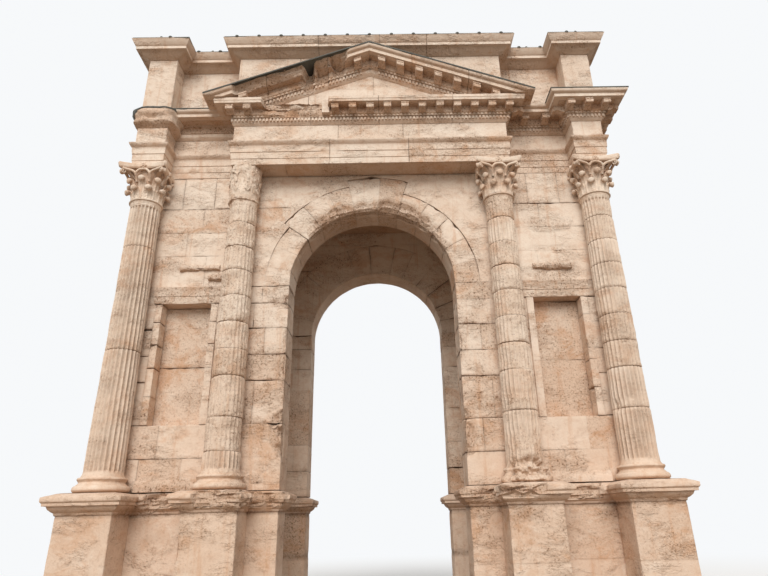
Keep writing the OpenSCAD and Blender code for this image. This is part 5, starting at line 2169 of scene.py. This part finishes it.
@dataclass(frozen=True)
class Studio:
    """A plain pale floor under an even sky, with one broad soft lamp from the front left."""

    floor_half: float = 90.0
    floor_seen: Colour = (0.86, 0.86, 0.86)
    backdrop: Colour = (0.93, 0.945, 0.96)
    floor_bounce: Colour = (0.34, 0.29, 0.24)
    sky: Colour = (1.0, 0.985, 0.96)
    sky_strength: float = 0.66
    lamp_strength: float = 2.1
    lamp_spread: float = 38.0
    lamp_from: Triple = (-0.1, -1.0, 0.66)
    lamp_colour: Colour = (1.0, 0.965, 0.92)
    fade: Pair = (9.0, 30.0)

    def floor(self) -> None:
        """The floor, which the camera sees pale and which throws little light upwards."""
        h = self.floor_half
        mesh = bpy.data.meshes.new("floor")
        mesh.from_pydata([(-h, -h, 0), (h, -h, 0), (h, h, 0), (-h, h, 0)], [], [(0, 1, 2, 3)])
        ground = bpy.data.objects.new("floor", mesh)
        bpy.context.scene.collection.objects.link(ground)
        w = Weave(bpy.data.materials.new("studio_floor"))
        seen = w.seen()
        plain = w.node("BsdfDiffuse", {"Color": w.mix(seen, self.floor_bounce, self.floor_seen)})
        away = w.node("VectorMath", {0: w.places()}, operation="LENGTH").outputs["Value"]
        w.blend(w.times(w.ramp(away, *self.fade), seen), plain,
                w.node("Emission", {"Color": self.backdrop}))
        mesh.materials.append(w.owner)

    def light(self) -> None:
        """The sky, which the camera sees as the backdrop, and the lamp."""
        world = bpy.data.worlds.new("studio")
        bpy.context.scene.world = world
        w = Weave(world)
        w.blend(w.seen(), w.node("Background", {0: self.sky, 1: self.sky_strength}),
                w.node("Background", {0: self.backdrop, 1: 1.0}))
        lamp = bpy.data.lights.new("lamp", "SUN")
        lamp.energy = self.lamp_strength
        lamp.angle = radians(self.lamp_spread)
        lamp.color = self.lamp_colour
        away = np.array(self.lamp_from) / np.linalg.norm(self.lamp_from)
        side = np.cross((0, 0, 1), away)
        side /= np.linalg.norm(side)
        placed("lamp", lamp, (side, np.cross(away, side), away))

    def build(self) -> None:
        """Lays the floor and sets the light."""
        self.floor()
        self.light()
        bpy.context.scene.view_settings.view_transform = "Standard"


def dress(names: Iterable[str], finish: Material) -> None:
    """Gives CAD nodes a finish in place of their plain colour."""
    for name in names:
        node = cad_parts[name]
        node.data.materials.clear()
        node.data.materials.append(finish)
        log.info("%s: %s", name, finish.name)


def quarters() -> Iterator[tuple[int, int, str]]:
    """Each corner: its sign along Y, its sign along X, and its name."""
    for f, front in ((-1, "front"), (1, "back")):
        for side, left in ((-1, "left"), (1, "right")):
            yield f, side, f"{front}_{left}"


def scarred(rows: Iterable[Sequence[float]], thick: float) -> tuple[Scar, ...]:
    """Rough scars from rows of x, y, z, reach along X, reach along Z and depth."""
    return tuple(Scar((x, y, z), (wide, thick, tall), deep, 0.9)
                 for x, y, z, wide, tall, deep in rows)


@dataclass
class Arch:
    """The whole arch: builds each sub-assembly on its four faces."""

    warm: Material
    pale: Material
    metal: Material

    def front_scars(self) -> tuple[Scar, ...]:
        """The worn and broken places of the front, as the photograph shows them."""
        y, r, z = -PLAN.wall_y, PLAN.arch_r, PLAN.spring_z
        rows = (
            (-3.84, 3.56, 0.95, 0.36, 0.035), (3.84, 3.5, 0.95, 0.3, 0.035),
            (-r, 3.65, 0.3, 0.5, 0.17), (r, 3.55, 0.28, 0.48, 0.15),
            (-r, 6.33, 0.42, 0.16, 0.12), (-3.3, 6.8, 0.75, 0.1, 0.05),
            (3.9, 6.86, 0.8, 0.2, 0.06), (r, 5.6, 0.16, 0.7, 0.07), (-r, 5.0, 0.14, 0.9, 0.06),
            (-2.1, 5.23, 0.5, 0.1, 0.05), (-2.1, 4.35, 0.45, 0.3, 0.035),
            (-2.2, 7.4, 0.5, 0.12, 0.04), (2.15, 4.7, 0.45, 0.12, 0.05),
            (2.1, 5.8, 0.45, 0.35, 0.035), (2.2, 6.9, 0.5, 0.3, 0.03),
            (3.9, 7.42, 0.7, 0.1, 0.05), (3.8, 8.1, 0.6, 0.1, 0.04), (4.5, 5.3, 0.3, 0.12, 0.05),
            (4.5, 4.2, 0.3, 0.3, 0.03), (-4.5, 6.3, 0.25, 0.1, 0.05),
            (-3.9, 8.56, 0.7, 0.08, 0.04), (-3.6, 7.97, 0.6, 0.08, 0.03),
            (3.9, 2.95, 0.9, 0.25, 0.03), (-2.1, 2.9, 0.4, 0.22, 0.04))
        scars = scarred(((x, y, *row) for x, *row in rows), 0.25)
        ring = ((14, 0.05, 0.26), (30, 0.05, 0.26), (46, 0.1, 0.26), (54, 0.16, 0.3),
                (63, 0.2, 0.3), (72, 0.13, 0.26), (83, 0.13, 0.28), (92, 0.14, 0.28),
                (101, 0.2, 0.32), (110, 0.22, 0.34), (119, 0.22, 0.34), (128, 0.2, 0.34),
                (138, 0.14, 0.3), (150, 0.07, 0.26), (162, 0.05, 0.24))
        return scars + tuple(
            Scar((-r * cos(a), y, z + r * sin(a)), (reach, 0.26, reach), depth, 0.45)
            for a, depth, reach in ((radians(row[0]), *row[1:]) for row in ring))

    def walls(self) -> None:
        """Piers, spandrels and voussoirs."""
        caps = scarred((
            (-2.45, -3.1, 2.56, 0.32, 0.14, 0.09), (2.5, -3.1, 2.54, 0.36, 0.18, 0.12),
            (-3.85, -2.35, 2.5, 0.5, 0.12, 0.07), (-2.0, -2.35, 2.45, 0.35, 0.14, 0.06),
            (3.9, -2.35, 2.56, 0.4, 0.1, 0.05), (2.0, -2.35, 2.5, 0.35, 0.16, 0.08),
            (-3.2, -2.95, 1.9, 0.2, 0.5, 0.04), (2.4, -2.95, 2.0, 0.25, 0.3, 0.04),
            (4.9, -3.1, 2.58, 0.25, 0.06, 0.04), (-3.9, -2.2, 1.7, 0.5, 0.2, 0.03)), 0.3)
        low, high = -3.6, -2.2
        broken = (Loss((-3.02, low, 2.3), (-1.95, -2.85, 2.645), 0.05, 0.05, 0.11),
                  Loss((-2.34, -2.75, 2.3), (-1.4, high, 2.645), 0.07, 0.05, 0.1),
                  Loss((-4.12, -2.75, 2.3), (-3.42, high, 2.645), 0.06, 0.05, 0.11),
                  Loss((1.94, -2.75, 2.3), (2.36, high, 2.645), 0.07, 0.05, 0.1),
                  Loss((2.05, low, 2.44), (2.98, -2.85, 2.645), 0.11, 0.05, 0.1),
                  Loss((3.42, -2.75, 2.3), (4.15, high, 2.62), 0.08, 0.06, 0.1))
        bare = (Loss((1.2, low, 2.24), (2.02, -0.9, 2.7), 0.012, 0.04, 0.02),)
        voussoirs = (0, 11, 23.5, 37.2, 51, 66, 77.8, 94.3, 108.3, 123.5, 138, 153, 167, 180)
        for facing in (Facing.FRONT, Facing.BACK):
            main = facing is Facing.FRONT
            scars, cell = (self.front_scars(), 0.045) if main else ((), 0.08)
            for side in (-1, 1):
                Pier(self.warm, facing, 20 + 3 * facing.value + side, side, cell, scars=scars,
                     lintel_worn=0.9 if main and side < 0 else 0.3).build()
                losses = broken if main else bare if side > 0 else ()
                Podium(self.warm, facing, 60 + 3 * facing.value + side, side,
                       0.05 if main else 0.085, scars=caps if main else (),
                       losses=losses).build()
            Spandrel(self.warm, facing, 31 + facing.value, cell, scars=scars).build()
            ArchRing(self.warm, facing, 41 + facing.value, PLAN.arch_r, PLAN.ring_r, PLAN.spring_z,
                     -PLAN.wall_y, -PLAN.inner_y, voussoirs, cell, scars, 2.28 if main else 0.0,
                     (0.6, 1.0, 3.0) if main else (0.8, 1.0, 1.0)).build()
        for facing in (Facing.LEFT, Facing.RIGHT):
            SideWall(self.warm, facing, 51 + facing.value).build()
            ArchRing(self.warm, facing, 45 + facing.value, PLAN.side_r, PLAN.side_ring_r,
                     PLAN.side_spring_z, -PLAN.wall_x, -PLAN.inner_x,
                     tuple(180 * i / 11 for i in range(12)), 0.08).build()

    def columns(self) -> None:
        """The eight columns."""
        wears = {(-1, "outer"): 0.05, (-1, "inner"): 0.95, (1, "inner"): 0.55, (1, "outer"): 0.35}
        rows = {(-1, "inner"): ((-0.22, 8.15, 0.3, 0.32, 0.035), (0.0, 8.5, 0.5, 0.07, 0.035),
                                (0.1, 7.65, 0.36, 0.22, 0.03), (-0.1, 6.6, 0.36, 0.18, 0.035),
                                (0.1, 5.5, 0.36, 0.28, 0.035), (-0.1, 4.5, 0.36, 0.28, 0.03),
                                (0.2, 3.6, 0.3, 0.24, 0.03)),
                (1, "inner"): ((0.0, 2.8, 0.8, 0.28, 0.17), (0.0, 3.25, 0.6, 0.45, 0.04),
                               (0.0, 3.95, 0.6, 0.5, 0.025), (0.1, 7.2, 0.36, 0.16, 0.035),
                               (-0.1, 4.9, 0.36, 0.18, 0.03), (0.1, 5.9, 0.3, 0.12, 0.03)),
                (1, "outer"): ((-0.2, 4.0, 0.3, 0.14, 0.03), (0.0, 5.25, 0.36, 0.1, 0.03))}
        drums = {(-1, "outer"): {"joints": (5.25, 7.45)},
                 (-1, "inner"): {"joints": (3.32,) + Column.joints, "renewed": (2.6, 3.315)}}
        for f, side, corner in quarters():
            main = f < 0
            for x, place in ((PLAN.col_out_x, "outer"), (PLAN.col_in_x, "inner")):
                own = (side, place)
                scars = scarred(((side * x + row[0], -2.72, *row[1:]) for row in rows.get(own, ())
                                 if main), 0.36)
                Column(side * x, f * PLAN.col_y, 100 + int(7 * x) + 3 * side + f,
                       wears[own] if main else 0.35, fine=main, cell=0.055 if main else 0.11,
                       scars=scars, **(drums.get(own, {}) if main else {})
                       ).build(f"column_{corner}_{place}", self.pale)

    def capitals(self) -> None:
        """A pair of capitals to each quarter."""
        wears = {(-1, "outer"): 0.1, (-1, "inner"): 0.85, (1, "inner"): 0.22, (1, "outer"): 0.22}
        for f, side, corner in quarters():
            shape = Shape()
            for x, place in ((PLAN.col_out_x, "outer"), (PLAN.col_in_x, "inner")):
                wear = wears[(side, place)] if f < 0 else 0.3
                most = 0.335 if f < 0 and (side, place) == (-1, "inner") else 9.0
                Capital(200 + int(9 * x) + side + f, wear, fine=f < 0, most=most).add_to(
                    shape, (side * x, f * PLAN.col_y, PLAN.column_z - Capital.high))
            shape.stand_for(f"capitals_{corner}", self.pale, "carved", sharp=45.0)

    def upper(self) -> None:
        """Everything above the capitals."""
        low, high = -3.6, -2.7
        level_losses = (Loss((-2.37, low, 10.3), (-0.93, high, 10.95), 0.095, 0.035, 0.085),
                        Loss((-5.4, -2.95, 10.25), (-3.12, -2.12, 10.66), 0.085, 0.03, 0.035))
        rake_losses = (
            Loss((-3.03, low, 10.95), (-0.53, high, 12.5), 0.15, 0.05, 0.055, 0.66, -0.45),
            Loss((-1.5, low, 10.95), (-1.3, high, 12.5), 0.02, 0.06),
            Loss((-1.26, low, 11.46), (-0.96, high, 11.76), 0.07, 0.06),
            Loss((-0.86, low, 11.64), (-0.6, high, 11.9), 0.07, 0.06))
        for facing in (Facing.FRONT, Facing.BACK):
            main = facing is Facing.FRONT
            Entablature(self.warm, facing, 120 + facing.value, 0.06 if main else 0.1,
                        level_losses if main else (), main).build()
            Pediment(self.warm, facing, 140 + facing.value, 0.055 if main else 0.1,
                     rake_losses if main else ()).build()
            Flashing(self.metal, facing, 160 + facing.value, main).build()
        for facing in (Facing.LEFT, Facing.RIGHT):
            SideEntablature(self.warm, facing, 150 + facing.value).build()
        Attic(self.warm).build()


def main() -> None:
    """Builds the arch's dress piece by piece."""
    logging.basicConfig(level=logging.INFO, format="%(name)s: %(message)s")
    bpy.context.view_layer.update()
    Viewpoint().camera()
    Studio().build()
    warm = Limestone("warm_limestone").material()
    pale = Limestone("pale_limestone", linear(244, 230, 214), linear(230, 209, 189), grime=0.8,
                     pits=0.6).material()
    # A darker copy of the limestone for the ceiling: painted shade inside the passage.
    inner = Limestone("inner_stone", linear(212, 186, 160), linear(190, 162, 136),
                      grime=1.2).material()
    metal = SheetMetal().material()
    arch = Arch(warm, pale, metal)
    dress([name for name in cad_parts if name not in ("roof", "ceiling")], warm)
    dress(["ceiling"], inner)
    dress(["roof"], metal)
    arch.walls()
    arch.columns()
    arch.capitals()
    arch.upper()
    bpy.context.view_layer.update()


if __name__ == "__main__":
    main()
